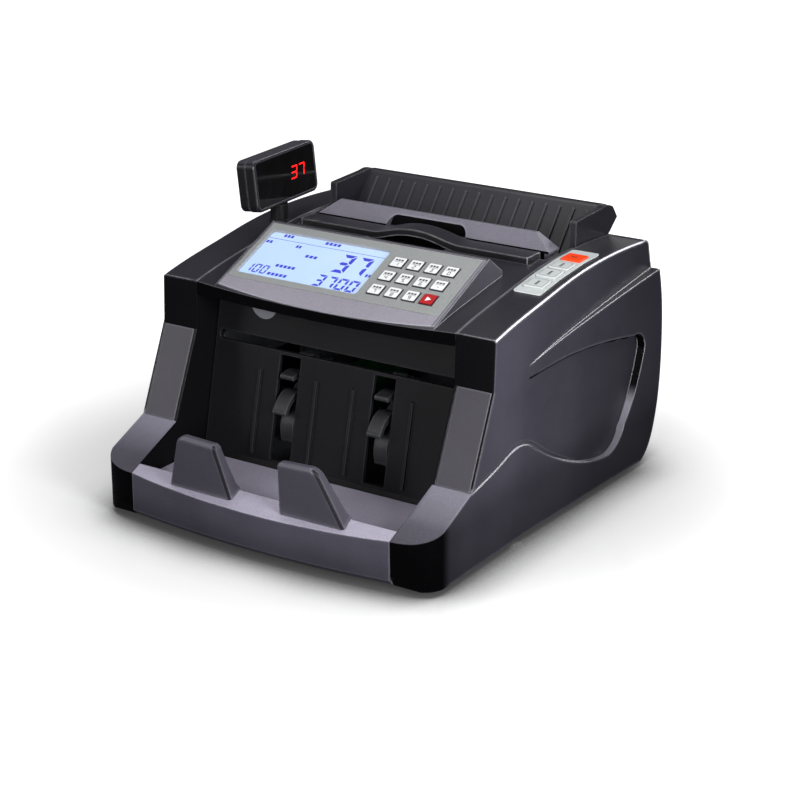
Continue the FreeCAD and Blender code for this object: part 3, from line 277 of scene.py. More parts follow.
# painted shade: the inner corner of the recess, darkened by occlusion
recess_corner = both(off_centre(123.0, 124.0), along("z", 84.0, 92.0), along("z", 109.5, 108.0),
                     along("y", -50.0, -42.0))
# strength of the painted edge highlight: full on the upper outer edges, weaker at the seams and
# elsewhere
upper_edges = at_least(0.12, both(along("z", 138.5, 140.5),
                                  at_least(0.35, off_centre(100.5, 102.0))))
# where painted highlight lines run on the side covers: along the outer side, and on the rear part's
# forward edges
shoulder = both(off_centre(116.0, 120.0), along("z", 24.0, 30.0), along("y", -118.0, -100.0))
upright_edge = both(off_centre(120.0, 124.0), along("z", 24.0, 34.0), along("y", 40.0, 52.0))

# centre cover
# painted shade: the centre cover's deck, in a darker tone
cover_deck = both(facing("+z", 0.85, 0.93), along("z", 138.0, 139.0))
# painted light and shade: each flank of the console in its own tone, the right darker
console_right = both(facing("+x", 0.8, 0.9), along("z", 141.0, 142.0))
console_left = both(facing("-x", 0.8, 0.9), along("z", 141.0, 142.0))
# painted shade: the centre cover's front faces and its top behind the console, near black
cover_front = both(front_face, along("z", 142.0, 140.0))
cover_rear_top = both(facing("+z", 0.85, 0.95), along("z", 152.5, 151.5), along("y", -2.0, 2.0))
# where a painted highlight line runs: the console's side edges
console_edge = both(off_centre(77.5, 79.0), off_centre(88.0, 86.0), along("z", 140.0, 141.5),
                    along("y", 8.0, 4.0))

# console bezel, paddles, wedge guide, handle and display head
bezel_strip = both(along("x", 75.4, 75.6), along("x", 78.7, 78.5),
                   along("y", -78.5, -77.5), along("y", -25.5, -26.5))
bezel_right_end = along("x", 78.5, 78.7)
# painted shade: the paddles' front faces darker, the rounding of their flanks darker still
paddle_front = facing("-y", 0.90, 0.965)
paddle_flank = both(facing("+x", 0.22, 0.34), facing("+x", 0.90, 0.82), facing("-y", 0.20, 0.34))
# painted shade: the wedge guide's front-facing faces near black, and the handle's front face darker
wedge_front = facing("-y", 0.93, 0.975)
handle_front = facing("-y", 0.6, 0.8)
# painted light: the display head's top faces in a lighter tone
head_top = facing("+z", 0.55, 0.9)

# upper edge of the side covers' recess: (y, z) in mm
RECESS_EDGE = [(-47.5, 106.0), (-24.7, 106.9), (-6.4, 107.3), (17.1, 106.3),
               (41.4, 104.0), (66.6, 100.3), (83.0, 97.4)]
EDGE_SCALE = 200.0              # brings the heights into a ramp's 0 to 1
RECESS_FLOOR = both(off_centre(123.4, 124.0), off_centre(124.86, 124.76),
                    along("y", -48.5, -46.0), along("y", 86.0, 84.0))


def recess_edge_shadow(mat):
    """Painted shadow: a dark line on the recess's floor, just under its upper edge, widening to the
    rear.
    """
    _, y, z = mat.xyz(mat.coords)
    edge = level("y", *((at, height / EDGE_SCALE) for at, height in RECESS_EDGE))(mat)
    depth = mat.math("SUBTRACT", mat.times(edge, EDGE_SCALE * MM), z)
    ends = (in_metres("y", RECESS_EDGE[0][0]), in_metres("y", RECESS_EDGE[-1][0]))
    width = mat.span(y, over=ends, to=(0.0008, 0.0024))
    below_edge = mat.span(depth, over=(-0.0005, -0.0001))
    within = mat.span(mat.math("SUBTRACT", depth, width), over=(0.0, 0.0005), to=(1.0, 0.0))
    return mat.times(mat.times(below_edge, within), RECESS_FLOOR(mat))


def cap_flank(mat):
    """Faces that lean away from the console's normal: the flanks of the keys, given painted shade.
    """
    parts = mat.xyz(mat.face_normal)
    lean = 0.0
    for part, weight in zip(parts, CONSOLE_NORMAL):
        lean = mat.math("MULTIPLY_ADD", part, weight, lean)
    return mat.span(lean, over=(0.93, 0.985), to=(1.0, 0.0))


# ================================================================ moulded plastic
# Faces that carry another tone; sparkle under 0 also calms grain and shine.
Zone = namedtuple("Zone", "mask tones rough sparkle")
# A painted highlight: a narrow bright line where a rounded edge turns one way.
Gleam = namedtuple("Gleam", "direction over amount colour mask")

# (dark, light) hex tones
GRAPHITE = ("28272e", "323139")
# lighter tones of the graphite metallic paint, used as painted light
LIT_METALLIC = ("605d68", "6b6873")
# near-black tones of the painted shade
SHADE_BLACK = ("050506", "08080a")
OVERLAY = ("777a79", "818483")
NEAR_BLACK = (0.01, 0.01, 0.012)
# colour of the painted shade in inner corners
CORNER_SHADE_BLACK = (0.002, 0.002, 0.002)


# Painted shade: faces that lie in shade, coloured near black with calm grain and shine.
def painted_shade_zone(mask, rough):
    return Zone(mask, SHADE_BLACK, rough, sparkle=-0.12)


def painted_edge_highlight(mat, edge, glint, glint_on, calm):
    """Painted highlight: how far outer edges are coloured lighter, in patches."""
    inside = mat.occlusion(edge * 2.0, inside=True, only_local=True, samples=4)
    edge_highlight = mat.span(inside, over=(0.86, 0.56), to=(0.0, glint))
    patches = mat.noise(scale=120.0)
    edge_highlight = mat.times(edge_highlight, mat.span(patches, over=(0.30, 0.52), to=(0.55, 1.0)))
    if glint_on is not None:
        edge_highlight = mat.times(edge_highlight, glint_on(mat))
    if calm is not None:
        edge_highlight = mat.times(edge_highlight, mat.span(calm, over=(0.0, 1.0), to=(1.0, 0.0)))
    return edge_highlight


def gleam_strength(mat, gleam, rounded_normal):
    """Strength of a painted highlight line; left and right count alike."""
    turn = 0.0
    parts = mat.xyz(rounded_normal)
    for i, weight in enumerate(gleam.direction):
        if weight:
            part = mat.math("ABSOLUTE", parts[i]) if i == 0 else parts[i]
            turn = mat.math("MULTIPLY_ADD", part, weight, turn)
    line = mat.span(turn, gleam.over, to=(0.0, gleam.amount), smooth=True)
    return mat.times(line, gleam.mask(mat))


def plastic(name, tones, rough, grain=2600.0, grain_height=0.00003, edge=0.0006, spec=0.45,
            sparkle=0.0, zones=(), glint=0.35, glint_colour=(0.30, 0.295, 0.34), glint_on=None,
            painted_shading=None, gleams=(), corner_shade=None):
    """Moulded plastic: uneven colour, spark texture, rounded edges with painted highlights.

    fade scales the tone over the piece as painted light and shade, glint is the strength
    of the painted highlight on the edges, and crevice is (reach, mask) of a line of
    painted shade in an inner corner."""
    mat = Shader(name)
    uneven = mat.span(mat.noise(scale=14.0, detail=4.0, rough=0.6), NOISE_RANGE)
    fine = mat.noise(scale=grain, detail=2.0, rough=0.6)
    mottle = mat.noise(scale=900.0, detail=3.0, rough=0.7)
    grit = mat.noise(scale=3600.0, detail=1.0, rough=0.5)
    light_grit = mat.span(grit, over=(0.52, 0.72))
    dark_grit = mat.span(grit, over=(0.30, 0.48), to=(1.0, 0.0))

    def toned(codes, spark):
        dark, light = map(srgb, codes)
        bright = tuple(min(1.0, c * 4.5 + 0.004) for c in light)
        colour = mat.mix(uneven, dark, light)
        colour = mat.mix(mat.times(light_grit, max(0.0, 0.12 + spark)), colour, bright)
        return mat.mix(mat.times(dark_grit, max(0.0, 0.05 + spark * 1.4)), colour, NEAR_BLACK)

    colour = toned(tones, sparkle)
    roughness = rough
    calm = None
    for zone in zones:
        on = zone.mask(mat)
        if zone.sparkle < 0.0:
            calm = on if calm is None else mat.math("MAXIMUM", calm, on)
        colour = mat.mix(on, colour, toned(zone.tones, zone.sparkle))
        roughness = mat.span(on, over=(0.0, 1.0), to=(roughness, zone.rough))
    # painted light and shade: the tone is scaled lighter and darker over the piece
    if painted_shading is not None:
        factor = painted_shading(mat)
        grey = mat.add("CombineColor")
        mat.fill(grey, {0: factor, 1: factor, 2: factor})
        colour = mat.mix(1.0, colour, grey.outputs[0], mode="MULTIPLY")
    # painted shade: occlusion darkens an inner corner towards black
    if corner_shade is not None:
        reach, mask = corner_shade
        corner = mat.occlusion(reach, only_local=True, samples=4)
        painted_shade_amount = mat.span(corner, over=(0.90, 0.62), to=(0.0, 0.9))
        colour = mat.mix(mat.times(painted_shade_amount, mask(mat)), colour, CORNER_SHADE_BLACK)
    colour = mat.mix(painted_edge_highlight(mat, edge, glint, glint_on, calm), colour, glint_colour)
    rounded_normal = mat.bevel(edge)
    for gleam in gleams:
        colour = mat.mix(gleam_strength(mat, gleam, rounded_normal), colour, gleam.colour)

    mottled = mat.span(mottle, NOISE_RANGE, to=(-0.05, 0.06))
    grain_bump = mat.bump(fine, strength=0.35, distance=grain_height, normal=rounded_normal)
    mat.set({"Base Color": colour, "Roughness": mat.math("ADD", roughness, mottled),
             "Specular IOR Level": spec, "Coat Roughness": 0.22, "Normal": grain_bump})
    if calm is not None:
        mat.set({"Specular IOR Level": mat.span(calm, over=(0.0, 1.0), to=(spec, 0.12))})
        mat.fill(grain_bump.node, {"Strength": mat.span(calm, over=(0.0, 1.0), to=(0.35, 0.0))})
    return mat.material


side_finish = plastic(
    "graphite_side", GRAPHITE, rough=0.36, edge=0.0009, corner_shade=(0.0028, recess_corner),
    glint=0.9, glint_colour=(0.70, 0.69, 0.76), glint_on=upper_edges,
    gleams=[Gleam(direction=(0.707, 0.0, 0.707), over=(0.92, 0.975), amount=0.92,
                  colour=(0.95, 0.94, 1.0), mask=shoulder),
            Gleam(direction=(0.707, -0.707, 0.0), over=(0.90, 0.965), amount=0.45,
                  colour=(0.9, 0.9, 0.96), mask=upright_edge)],
    zones=[Zone(top_deck, ("1c1b21", "232228"), rough=0.36, sparkle=0.02),
           painted_shade_zone(recess_edge_shadow, rough=0.45),
           painted_shade_zone(inner_wall, rough=0.45),
           painted_shade_zone(brow, rough=0.24),
           painted_shade_zone(rim_corner, rough=0.24),
           # painted light on the rim top
           Zone(rim_top, ("504e58", "5a5862"), rough=0.40, sparkle=0.12),
           painted_shade_zone(recess_return, rough=0.25),
           Zone(low_slope, ("8b8995", "9795a1"), rough=0.34, sparkle=0.04)],
    # painted light and shade: lighter to the front and upper side, darker to the rear and bottom
    painted_shading=unless(top_deck, both(
        level("y", (-150.0, 1.0), (-110.0, 1.7), (-75.0, 1.9), (-20.0, 1.5), (60.0, 1.0),
              (125.0, 0.7)),
        level("z", (2.0, 0.40), (30.0, 0.50), (58.0, 0.95), (75.0, 1.0), (165.0, 1.0))), 1.0))

drawer_finish = plastic(
    "graphite_drawer", GRAPHITE, rough=0.36,
    # painted light: the rim top in a lighter tone
    zones=[Zone(rim_top, LIT_METALLIC, rough=0.40, sparkle=0.12)],
    # painted light and shade: lighter and darker bands up the drawer's front
    painted_shading=level("z", (3.0, 1.9), (8.1, 1.9), (8.6, 1.1), (26.0, 1.75), (36.0, 1.9), (40.0, 1.3),
               (60.0, 1.3)))

cover_finish = plastic(
    "graphite_cover", GRAPHITE, rough=0.34, glint=0.45,
    gleams=[Gleam(direction=(0.707, 0.0, 0.707), over=(0.90, 0.965), amount=0.6,
                  colour=(0.8, 0.79, 0.86), mask=console_edge)],
    # painted shade: darker towards the front
    painted_shading=level("y", (-110.0, 0.62), (-60.0, 0.75), (-20.0, 1.0), (90.0, 1.0)),
    zones=[Zone(cover_deck, ("211f26", "28272e"), rough=0.34, sparkle=0.02),
           Zone(console_right, ("34323a", "3d3b44"), rough=0.4, sparkle=0.04),
           Zone(console_left, ("3a3841", "45434c"), rough=0.4, sparkle=0.04),
           painted_shade_zone(cover_front, rough=0.22),
           painted_shade_zone(cover_rear_top, rough=0.4)])

plain_finish = plastic("graphite_plain", GRAPHITE, rough=0.36)

handle_finish = plastic(
    "handle_satin", ("1c1b20", "242329"), rough=0.32, edge=0.0005,
    glint=0.75, glint_colour=(0.42, 0.415, 0.46),
    zones=[Zone(handle_front, ("0f0e11", "151417"), rough=0.4, sparkle=0.0)])

# spare metallic finish, worn by no piece
plastic("purple_grey_metallic", LIT_METALLIC, rough=0.40, sparkle=0.10, grain_height=0.00002,
        spec=0.5, glint=0.5, glint_colour=(0.5, 0.49, 0.55))

bezel_finish = plastic(
    "bezel_metallic", ("76737e", "817e89"), rough=0.38, sparkle=0.10, grain_height=0.00002,
    spec=0.5, glint=0.6, glint_colour=(0.6, 0.59, 0.65),
    zones=[Zone(bezel_strip, OVERLAY, rough=0.38, sparkle=0.05),
           Zone(bezel_right_end, ("4a4852", "53515b"), rough=0.40, sparkle=0.05)])

cheek_finish = plastic("cheek_metallic", ("2b292f", "333138"), rough=0.42, sparkle=0.08,
                       grain_height=0.00002, glint=0.3)

wedge_finish = plastic("wedge_metallic", ("5b5963", "66646e"), rough=0.42, sparkle=0.10,
                       grain_height=0.00002, glint=0.4, zones=[painted_shade_zone(wedge_front, 0.4)])

paddle_finish = plastic(
    "paddle_satin", ("403e47", "4a4851"), rough=0.34, glint=0.30, edge=0.0012,
    zones=[Zone(paddle_front, ("3a3840", "434149"), rough=0.32, sparkle=0.0),
           Zone(paddle_flank, ("1c1b1f", "232227"), rough=0.40, sparkle=-0.02)])

black_matt = plastic("black_matt", ("101012", "17171a"), rough=0.5, grain=1900.0, glint=0.12)
tray_finish = plastic("tray_satin", ("1a191e", "222127"), rough=0.40, glint=0.15)
black_satin = plastic("black_satin", ("09080a", "0e0d10"), rough=0.40, glint=0.05, spec=0.22)

head_finish = plastic(
    "head_satin", ("0d0c10", "131216"), rough=0.30, glint=0.30, glint_colour=(0.24, 0.235, 0.28),
    zones=[Zone(head_top, ("302f36", "3a3941"), rough=0.32, sparkle=0.03)])

overlay_film = plastic("overlay_film", OVERLAY, rough=0.38, sparkle=0.05, grain_height=0.00001,
                       edge=0.0002, spec=0.4, glint=0.2, glint_colour=(0.7, 0.7, 0.72))

KEY_SURFACE = dict(rough=0.4, grain_height=0.00001, edge=0.0003)     # shared by all the keys
key_white = plastic(
    "key_white", ("cfd1d2", "dcdedf"), glint=0.0, **KEY_SURFACE,
    # painted shade on the key flanks
    zones=[Zone(cap_flank, ("202024", "28282c"), rough=0.5, sparkle=0.0)])
key_red = plastic(
    "key_red", ("98020c", "a60610"), glint=0.0, spec=0.2, **KEY_SURFACE,
    # painted shade on the key flanks
    zones=[Zone(cap_flank, ("3c0408", "4a060a"), rough=0.5, sparkle=0.0)])
side_grey = plastic("side_label", ("b9bebe", "c4c9c9"), glint=0.2,
                    glint_colour=(0.9, 0.9, 0.9), **KEY_SURFACE)
side_orange = plastic("side_orange", ("f4380a", "fc4a12"), spec=0.2, glint=0.1,
                      glint_colour=(1.0, 0.5, 0.3), **KEY_SURFACE)

rubber = plastic("rubber", ("151515", "1d1d1d"), rough=0.75, grain=1200.0,
                 grain_height=0.00006, spec=0.3, glint=0.0)
nylon_wheel = plastic("nylon_wheel", ("1d1d20", "252528"), rough=0.45, glint=0.1)


# ================================================================ other materials
def metal(name, colour, rough, stretch=(1, 40, 1)):
    """Bare metal with a noise stretched into brush marks."""
    mat = Shader(name)
    mapping = mat.add("Mapping")
    mat.fill(mapping, {0: mat.coords, "Scale": stretch})
    brushed = mat.noise(scale=120.0, detail=4.0, rough=0.6, vector=mapping.outputs[0])
    dark = tuple(c * 0.8 for c in colour)
    mat.set({"Base Color": mat.mix(mat.span(brushed, NOISE_RANGE), dark, colour),
             "Roughness": mat.span(brushed, NOISE_RANGE, to=(rough - 0.08, rough + 0.1)),
             "Metallic": 1.0,
             "Normal": mat.bump(brushed, strength=0.15, distance=0.00002,
                                normal=mat.bevel(radius=0.0003))})
    return mat.material


def solder_mask():
    """Green board, faintly lumpy."""
    mat = Shader("solder_mask")
    patches = mat.span(mat.noise(scale=60.0), over=(0.35, 0.65))
    mat.set({"Base Color": mat.mix(patches, srgb("0c3a1c"), srgb("145227")),
             "Roughness": 0.35,
             "Normal": mat.bump(mat.voronoi(scale=300.0), strength=0.2, distance=0.0001)})
    return mat.material


def lcd_backlight():
    """Lit pale-blue panel, a little uneven and with a faint cell pattern."""
    mat = Shader("lcd_backlight")
    uneven = mat.span(mat.noise(scale=30.0, detail=2.0), NOISE_RANGE)
    cells = mat.span(mat.voronoi(scale=1500.0), over=(0.0, 0.8), to=(0.0, 0.04))
    glow = mat.mix(cells, mat.mix(uneven, srgb("c4e4ff"), srgb("d4eeff")), srgb("a6cdf6"))
    mat.set({"Base Color": srgb("8093b4"), "Emission Color": glow,
             "Emission Strength": 0.47, "Roughness": 0.35})
    return mat.material


def ink(name, code, emit=0.0):
    """Slightly uneven print, lit if emit is given."""
    mat = Shader(name)
    full = srgb(code)
    patches = mat.span(mat.noise(scale=700.0, detail=2.0), NOISE_RANGE)
    colour = mat.mix(patches, tuple(c * 0.85 for c in full), full)
    mat.set({"Base Color": colour, "Roughness": 0.5})
    if emit:
        mat.set({"Emission Color": colour, "Emission Strength": emit})
    return mat.material


def window(name, tint, alpha):
    """Clear cover: a soft reflection and faint smears."""
    mat = Shader(name)
    smears = mat.noise(scale=60.0, detail=4.0, rough=0.6)
    mat.set({"Base Color": tint, "Roughness": mat.span(smears, over=(0.3, 0.8), to=(0.04, 0.12)),
             "Alpha": alpha, "Specular IOR Level": 0.5})
    return mat.material


def smoked_window():
    """Opaque, nearly black glossy window."""
    mat = Shader("smoked_window")
    patches = mat.span(mat.noise(scale=40.0), NOISE_RANGE)
    smears = mat.noise(scale=90.0, detail=4.0)
    mat.set({"Base Color": mat.mix(patches, srgb("080808"), srgb("0e0e0f")),
             "Roughness": mat.span(smears, over=(0.3, 0.8), to=(0.05, 0.10)),
             "Specular IOR Level": 0.5})
    return mat.material


steel = metal("ground_steel", colour=(0.55, 0.55, 0.57), rough=0.28, stretch=(60, 1, 1))
zinc = metal("zinc_plate", colour=(0.42, 0.44, 0.47), rough=0.42)
board = solder_mask()
lcd_panel = lcd_backlight()
lcd_ink = ink("lcd_ink", "0410b8", emit=0.22)
legend_ink = ink("legend_ink", "2c2c30")
legend_white = ink("legend_white", "f4f0ee")
ink("legend_red", "5a0008")     # spare ink, used by no legend
label_grey = ink("label_grey", "7d8182")
led_red = ink("led_red", "ff1008", emit=2.2)
lens_clear = window("lcd_lens_clear", tint=(0.85, 0.93, 1.0), alpha=0.02)
tab_clear = window("clear_tab", tint=(0.15, 0.155, 0.17), alpha=0.75)
smoked = smoked_window()

# ================================================================ finish of each piece
FINISHES = (
    (side_finish, "left_side_cover right_side_cover"),
    (cover_finish, "centre_cover"),
    (cheek_finish, "left_cheek_trim right_cheek_trim"),
    (drawer_finish, "stacker_drawer"),
    (paddle_finish, "left_stop_paddle right_stop_paddle"),
    (handle_finish, "carry_handle"),
    (wedge_finish, "hopper_front_guide"),
    (plain_finish, "rear_cover"),
    (tray_finish, "hopper_rear_tray"),
    (black_satin, "stacker_back_plate display_post gap_adjust_knob power_switch"),
    (black_matt, "base_chassis power_inlet"),
    (head_finish, "display_front_shell display_back_shell"),
    (bezel_finish, "console_bezel"),
    (overlay_film, "keypad_overlay"),
    (lcd_panel, "lcd_module"),
    (lens_clear, "lcd_lens"),
    (smoked, "display_window"),
    (tab_clear, "exit_tab"),
    (key_red, "key_start"),
    (side_grey, "side_key_plate"),
    (side_orange, "side_key_1"),
    (steel, "feed_shaft kicker_shaft stacker_shaft handle_pivot_pins chassis_screws"
            " motor_pulley"),
    (zinc, "left_frame_plate right_frame_plate main_motor"),
    (rubber, "rubber_feet feed_rollers kicker_rollers drive_belt retard_block"),
    (nylon_wheel, "stacker_wheels"),
    (board, "control_board power_supply"),
)
finish_of = {piece: finish for finish, pieces in FINISHES for piece in pieces.split()}
for name, piece in nodes.items():
    key_finish = side_grey if name.startswith("side_key") else key_white
    finish = finish_of.get(name, key_finish)
    if not piece.material_slots:
        piece.data.materials.append(finish)
    for slot in piece.material_slots:
        slot.material = finish


# ================================================================ drawing tools
def place_detail(name, bm, plane, material, body):
    """Turn a bmesh into an object on a drawing plane that rides on a body."""
    bmesh.ops.recalc_face_normals(bm, faces=bm.faces)
    mesh = bpy.data.meshes.new(name)
    bm.to_mesh(mesh)
    bm.free()
    mesh.materials.append(material)
    detail = bpy.data.objects.new(name, mesh)
    bpy.context.scene.collection.objects.link(detail)
    detail.matrix_world = plane
    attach(detail, body)
    return detail


def outline_verts(bm, outline, height):
    return [bm.verts.new((x * MM, y * MM, height * MM)) for x, y in outline]


def plate(name, outlines, plane, lift, material, body, thick=0.03, slot=None):
    """Thin raised shapes: closed outlines in mm, extruded and set on a plane."""
    bm = bmesh.new()
    for outline in outlines:
        bm.faces.new(outline_verts(bm, outline, lift))
    bm.normal_update()
    for face in bm.faces:
        if face.normal.z < 0:
            face.normal_flip()
    extruded = bmesh.ops.extrude_face_region(bm, geom=list(bm.faces))
    top = [v for v in extruded["geom"] if isinstance(v, bmesh.types.BMVert)]
    bmesh.ops.translate(bm, verts=top, vec=(0, 0, thick * MM))
    detail = place_detail(name, bm, plane, material, body)


def ring(name, outer, inner, plane, lift, material, body, thick=0.03):
    """A thin closed ring between two outlines with equal counts of points."""
    bm = bmesh.new()
    low_out, low_in, high_out, high_in = (
        outline_verts(bm, outline, height)
        for height in (lift, lift + thick) for outline in (outer, inner))
    count = len(outer)
    for i in range(count):
        j = (i + 1) % count
        bm.faces.new((high_out[i], high_out[j], high_in[j], high_in[i]))
        bm.faces.new((low_out[i], low_in[i], low_in[j], low_out[j]))
        bm.faces.new((low_out[i], low_out[j], high_out[j], high_out[i]))
        bm.faces.new((low_in[i], high_in[i], high_in[j], low_in[j]))
    place_detail(name, bm, plane, material, body)


def bar(x, y, width, height):
    return [(x, y), (x + width, y), (x + width, y + height), (x, y + height)]


def rounded(x, y, half_x, half_y, radius, steps=4):
    """Rounded rectangle about a centre."""
    points = []
    for side_x, side_y, start in ((1, -1, -90), (1, 1, 0), (-1, 1, 90), (-1, -1, 180)):
        corner_x = x + side_x * (half_x - radius)
        corner_y = y + side_y * (half_y - radius)
        for i in range(steps + 1):
            a = math.radians(start + 90 * i / steps)
            points.append((corner_x + radius * math.cos(a), corner_y + radius * math.sin(a)))
    return points


# Lit segments of each character: a top, b and c right, d bottom, e and f left, g middle
SEGMENTS = {"0": "abcdef", "1": "bc", "2": "abged", "3": "abgcd", "4": "fgbc", "5": "afgcd",
            "6": "afgedc", "7": "abc", "8": "abcdefg", "9": "abcdfg", "-": "g"}


def digit(char, x, y, width, height, stroke, slant):
    """Seven-segment character with its lower left corner at x, y."""
    gap = stroke * 0.16
    half = stroke / 2
    mid = height / 2
    tip = gap + half * 0.2
    inset = stroke + gap
    top = [(tip, height), (width - tip, height), (width - inset, height - stroke),
           (inset, height - stroke)]
    upper_left = [(0, height - tip), (stroke, height - inset), (stroke, mid + half + gap),
                  (stroke * 0.45, mid + gap), (0, mid + gap + half * 0.3)]
    blunt = stroke * 0.55 + gap
    middle = [(blunt, mid), (inset, mid + half), (width - inset, mid + half),
              (width - blunt, mid), (width - inset, mid - half), (inset, mid - half)]

    def flip_x(points):
        return [(width - px, py) for px, py in points]

    def flip_y(points):
        return [(px, height - py) for px, py in points]

    shapes = {"a": top, "d": flip_y(top), "g": middle,
              "f": upper_left, "b": flip_x(upper_left),
              "e": flip_y(upper_left), "c": flip_x(flip_y(upper_left))}
    return [[(x + px + py * slant, y + py) for px, py in shapes[s]] for s in SEGMENTS[char]]


def number(text, x, y, width, height, stroke, pitch, slant):
    return [shape for i, char in enumerate(text)
            for shape in digit(char, x + i * pitch, y, width, height, stroke, slant)]


# ================================================================ LCD content
# text, x, y, width, height, stroke, pitch, slant
LCD_NUMBERS = [("37", -15.4, 32.6, 10.3, 18.0, 2.8, 13.0, 0.06),
               ("3700", -20.0, 17.2, 6.8, 11.2, 1.75, 8.3, 0.04),
               ("100", -73.4, 18.8, 4.6, 8.4, 1.15, 5.9, 0.06)]
# words drawn as rows of plain blocks: x, y, width
LCD_WORDS = [(-66.0, 56.4, 8.0), (-33.5, 56.2, 12.5), (-75.0, 48.4, 5.2), (-51.4, 48.2, 4.4),
             (-39.5, 41.0, 9.6), (-54.0, 27.6, 15.5), (-55.0, 19.0, 15.5), (10.8, 33.6, 4.6)]
BLOCK_PITCH, BLOCK_FILL, BLOCK_HEIGHT = 3.1, 0.74, 2.6      # the pitch is fitted to each word
LCD_LEFT, LCD_RIGHT, LCD_BOTTOM, LCD_TOP = -75.6, 15.6, 15.4, 59.6
LCD_CORNER_RADIUS = 2.6
LCD_PRINT = dict(plane=CONSOLE, lift=-1.045, thick=0.025, body="root", slot="lcd")


def word_blocks(x, y, width):
    count = max(2, round(width / BLOCK_PITCH))
    pitch = width / count
    return [bar(x + i * pitch, y, pitch * BLOCK_FILL, BLOCK_HEIGHT) for i in range(count)]


def corner_fill(x, y, side_x, side_y):
    """The patch between a square corner and its rounding."""
    arc = [(1 - math.sin(math.radians(a)), 1 - math.cos(math.radians(a)))
           for a in range(0, 91, 15)]
    return [(x, y)] + [(x + side_x * LCD_CORNER_RADIUS * u, y + side_y * LCD_CORNER_RADIUS * v)
                       for u, v in arc]


lcd_shapes = [shape for entry in LCD_NUMBERS for shape in number(*entry)]
lcd_shapes.append(bar(-75.4, 53.3, width=91.0, height=0.35))
lcd_shapes += [block for word in LCD_WORDS for block in word_blocks(*word)]
plate("lcd_segments", lcd_shapes, material=lcd_ink, **LCD_PRINT)

# printed border that rounds the lit panel's corners
lcd_corners = [corner_fill(LCD_LEFT, LCD_BOTTOM, 1, 1), corner_fill(LCD_RIGHT, LCD_BOTTOM, -1, 1),
               corner_fill(LCD_RIGHT, LCD_TOP, -1, -1), corner_fill(LCD_LEFT, LCD_TOP, 1, -1)]
plate("lcd_corner_border", lcd_corners, material=overlay_film, **LCD_PRINT)

# ================================================================ keypad print
KEY_COLUMNS = [26.8, 39.5, 52.3, 64.8]
KEY_ROWS = [50.0, 36.2, 22.4]
KEY_NAMES = [["key_1", "key_2", "key_3", "key_0"],
             ["key_4", "key_5", "key_6", "key_minus"],
             ["key_7", "key_8", "key_9", "key_start"]]
KEYS = [(name, x, y) for names, y in zip(KEY_NAMES, KEY_ROWS)
        for name, x in zip(names, KEY_COLUMNS)]
# height of the key tops over the console plane
KEY_TOP = max((v.co - CONSOLE_ORIGIN).dot(CONSOLE_NORMAL)
              for v in nodes["key_1"].data.vertices) / MM
OVERLAY_TOP = 0.6
GAP_OUTER, GAP_INNER = (5.2, 5.2, 1.6), (4.78, 4.78, 1.2)      # half sizes and corner radius


def key_legend(name, x, y):
    """A triangle on the start key, else three blocks, a divider and a character."""
    if name == "key_start":
        return [[(x - 1.5, y - 1.9), (x + 2.1, y), (x - 1.5, y + 1.9)]]
    blocks = [bar(x - 2.9 + 2.1 * i, y + 1.1, width=1.6, height=1.5) for i in range(3)]
    divider = bar(x - 3.2, y + 0.2, width=6.4, height=0.28)
    char = name[-1] if name[-1].isdigit() else "-"
    return blocks + [divider] + digit(char, x - 1.05, y - 3.5, width=2.1, height=3.1,
                                      stroke=0.55, slant=0.0)


for name, x, y in KEYS:
    legend = legend_white if name == "key_start" else legend_ink
    plate("legend_" + name, key_legend(name, x, y), CONSOLE, KEY_TOP, legend, name)

# dark gap line round each key, on the overlay
for name, x, y in KEYS:
    ring("gap_" + name, rounded(x, y, *GAP_OUTER), rounded(x, y, *GAP_INNER),
         CONSOLE, OVERLAY_TOP, legend_ink, "root")

# ================================================================ side key print
SIDE_LIFT = 0.02
SIDE_MARGIN_X, SIDE_MARGIN_Y = 0.9, 1.1     # from the key's edge to the outline
SIDE_RADIUS, SIDE_LINE = 1.6, 0.25          # corner radius and line width of the outline


def top_plane(name):
    """Drawing plane on a key's largest upper face, over the middle of the key."""
    low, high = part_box(name)
    middle_z = (low[2] + high[2]) / 2
    face = max(nodes[name].data.polygons,
               key=lambda f: f.area * max(f.normal.z, 0.0) * (f.center.z > middle_z))
    normal = face.normal.normalized()
    y_axis = normal.cross(Vector((1, 0, 0))).normalized()
    x_axis = y_axis.cross(normal).normalized()
    centre = Vector(((low[0] + high[0]) / 2, (low[1] + high[1]) / 2, 0))
    centre.z = face.center.z - (normal.x * (centre.x - face.center.x)
                                + normal.y * (centre.y - face.center.y)) / normal.z
    return axes_frame(x_axis, y_axis, normal, centre)


def side_key_print(name):
    plane = top_plane(name)
    if name == "side_key_1":
        legend = [bar(-1.9, -1.0, 1.0, 2.0), bar(0.5, -1.0, 1.0, 2.0), bar(-0.9, -0.25, 1.4, 0.5)]
    else:
        low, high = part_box(name)
        half_x = (high[0] - low[0]) / 2 / MM - SIDE_MARGIN_X
        half_y = (high[1] - low[1]) / 2 / MM - SIDE_MARGIN_Y
        ring("outline_" + name, rounded(0, 0, half_x, half_y, SIDE_RADIUS),
             rounded(0, 0, half_x - SIDE_LINE, half_y - SIDE_LINE, SIDE_RADIUS - SIDE_LINE),
             plane, SIDE_LIFT, label_grey, name)
        legend = [bar(-0.8, -3.2 + 2.1 * i, width=1.7, height=1.4) for i in range(3)]
    plate("legend_" + name, legend, plane, SIDE_LIFT, legend_ink, name)


for i in range(1, 5):
    side_key_print("side_key_%d" % i)

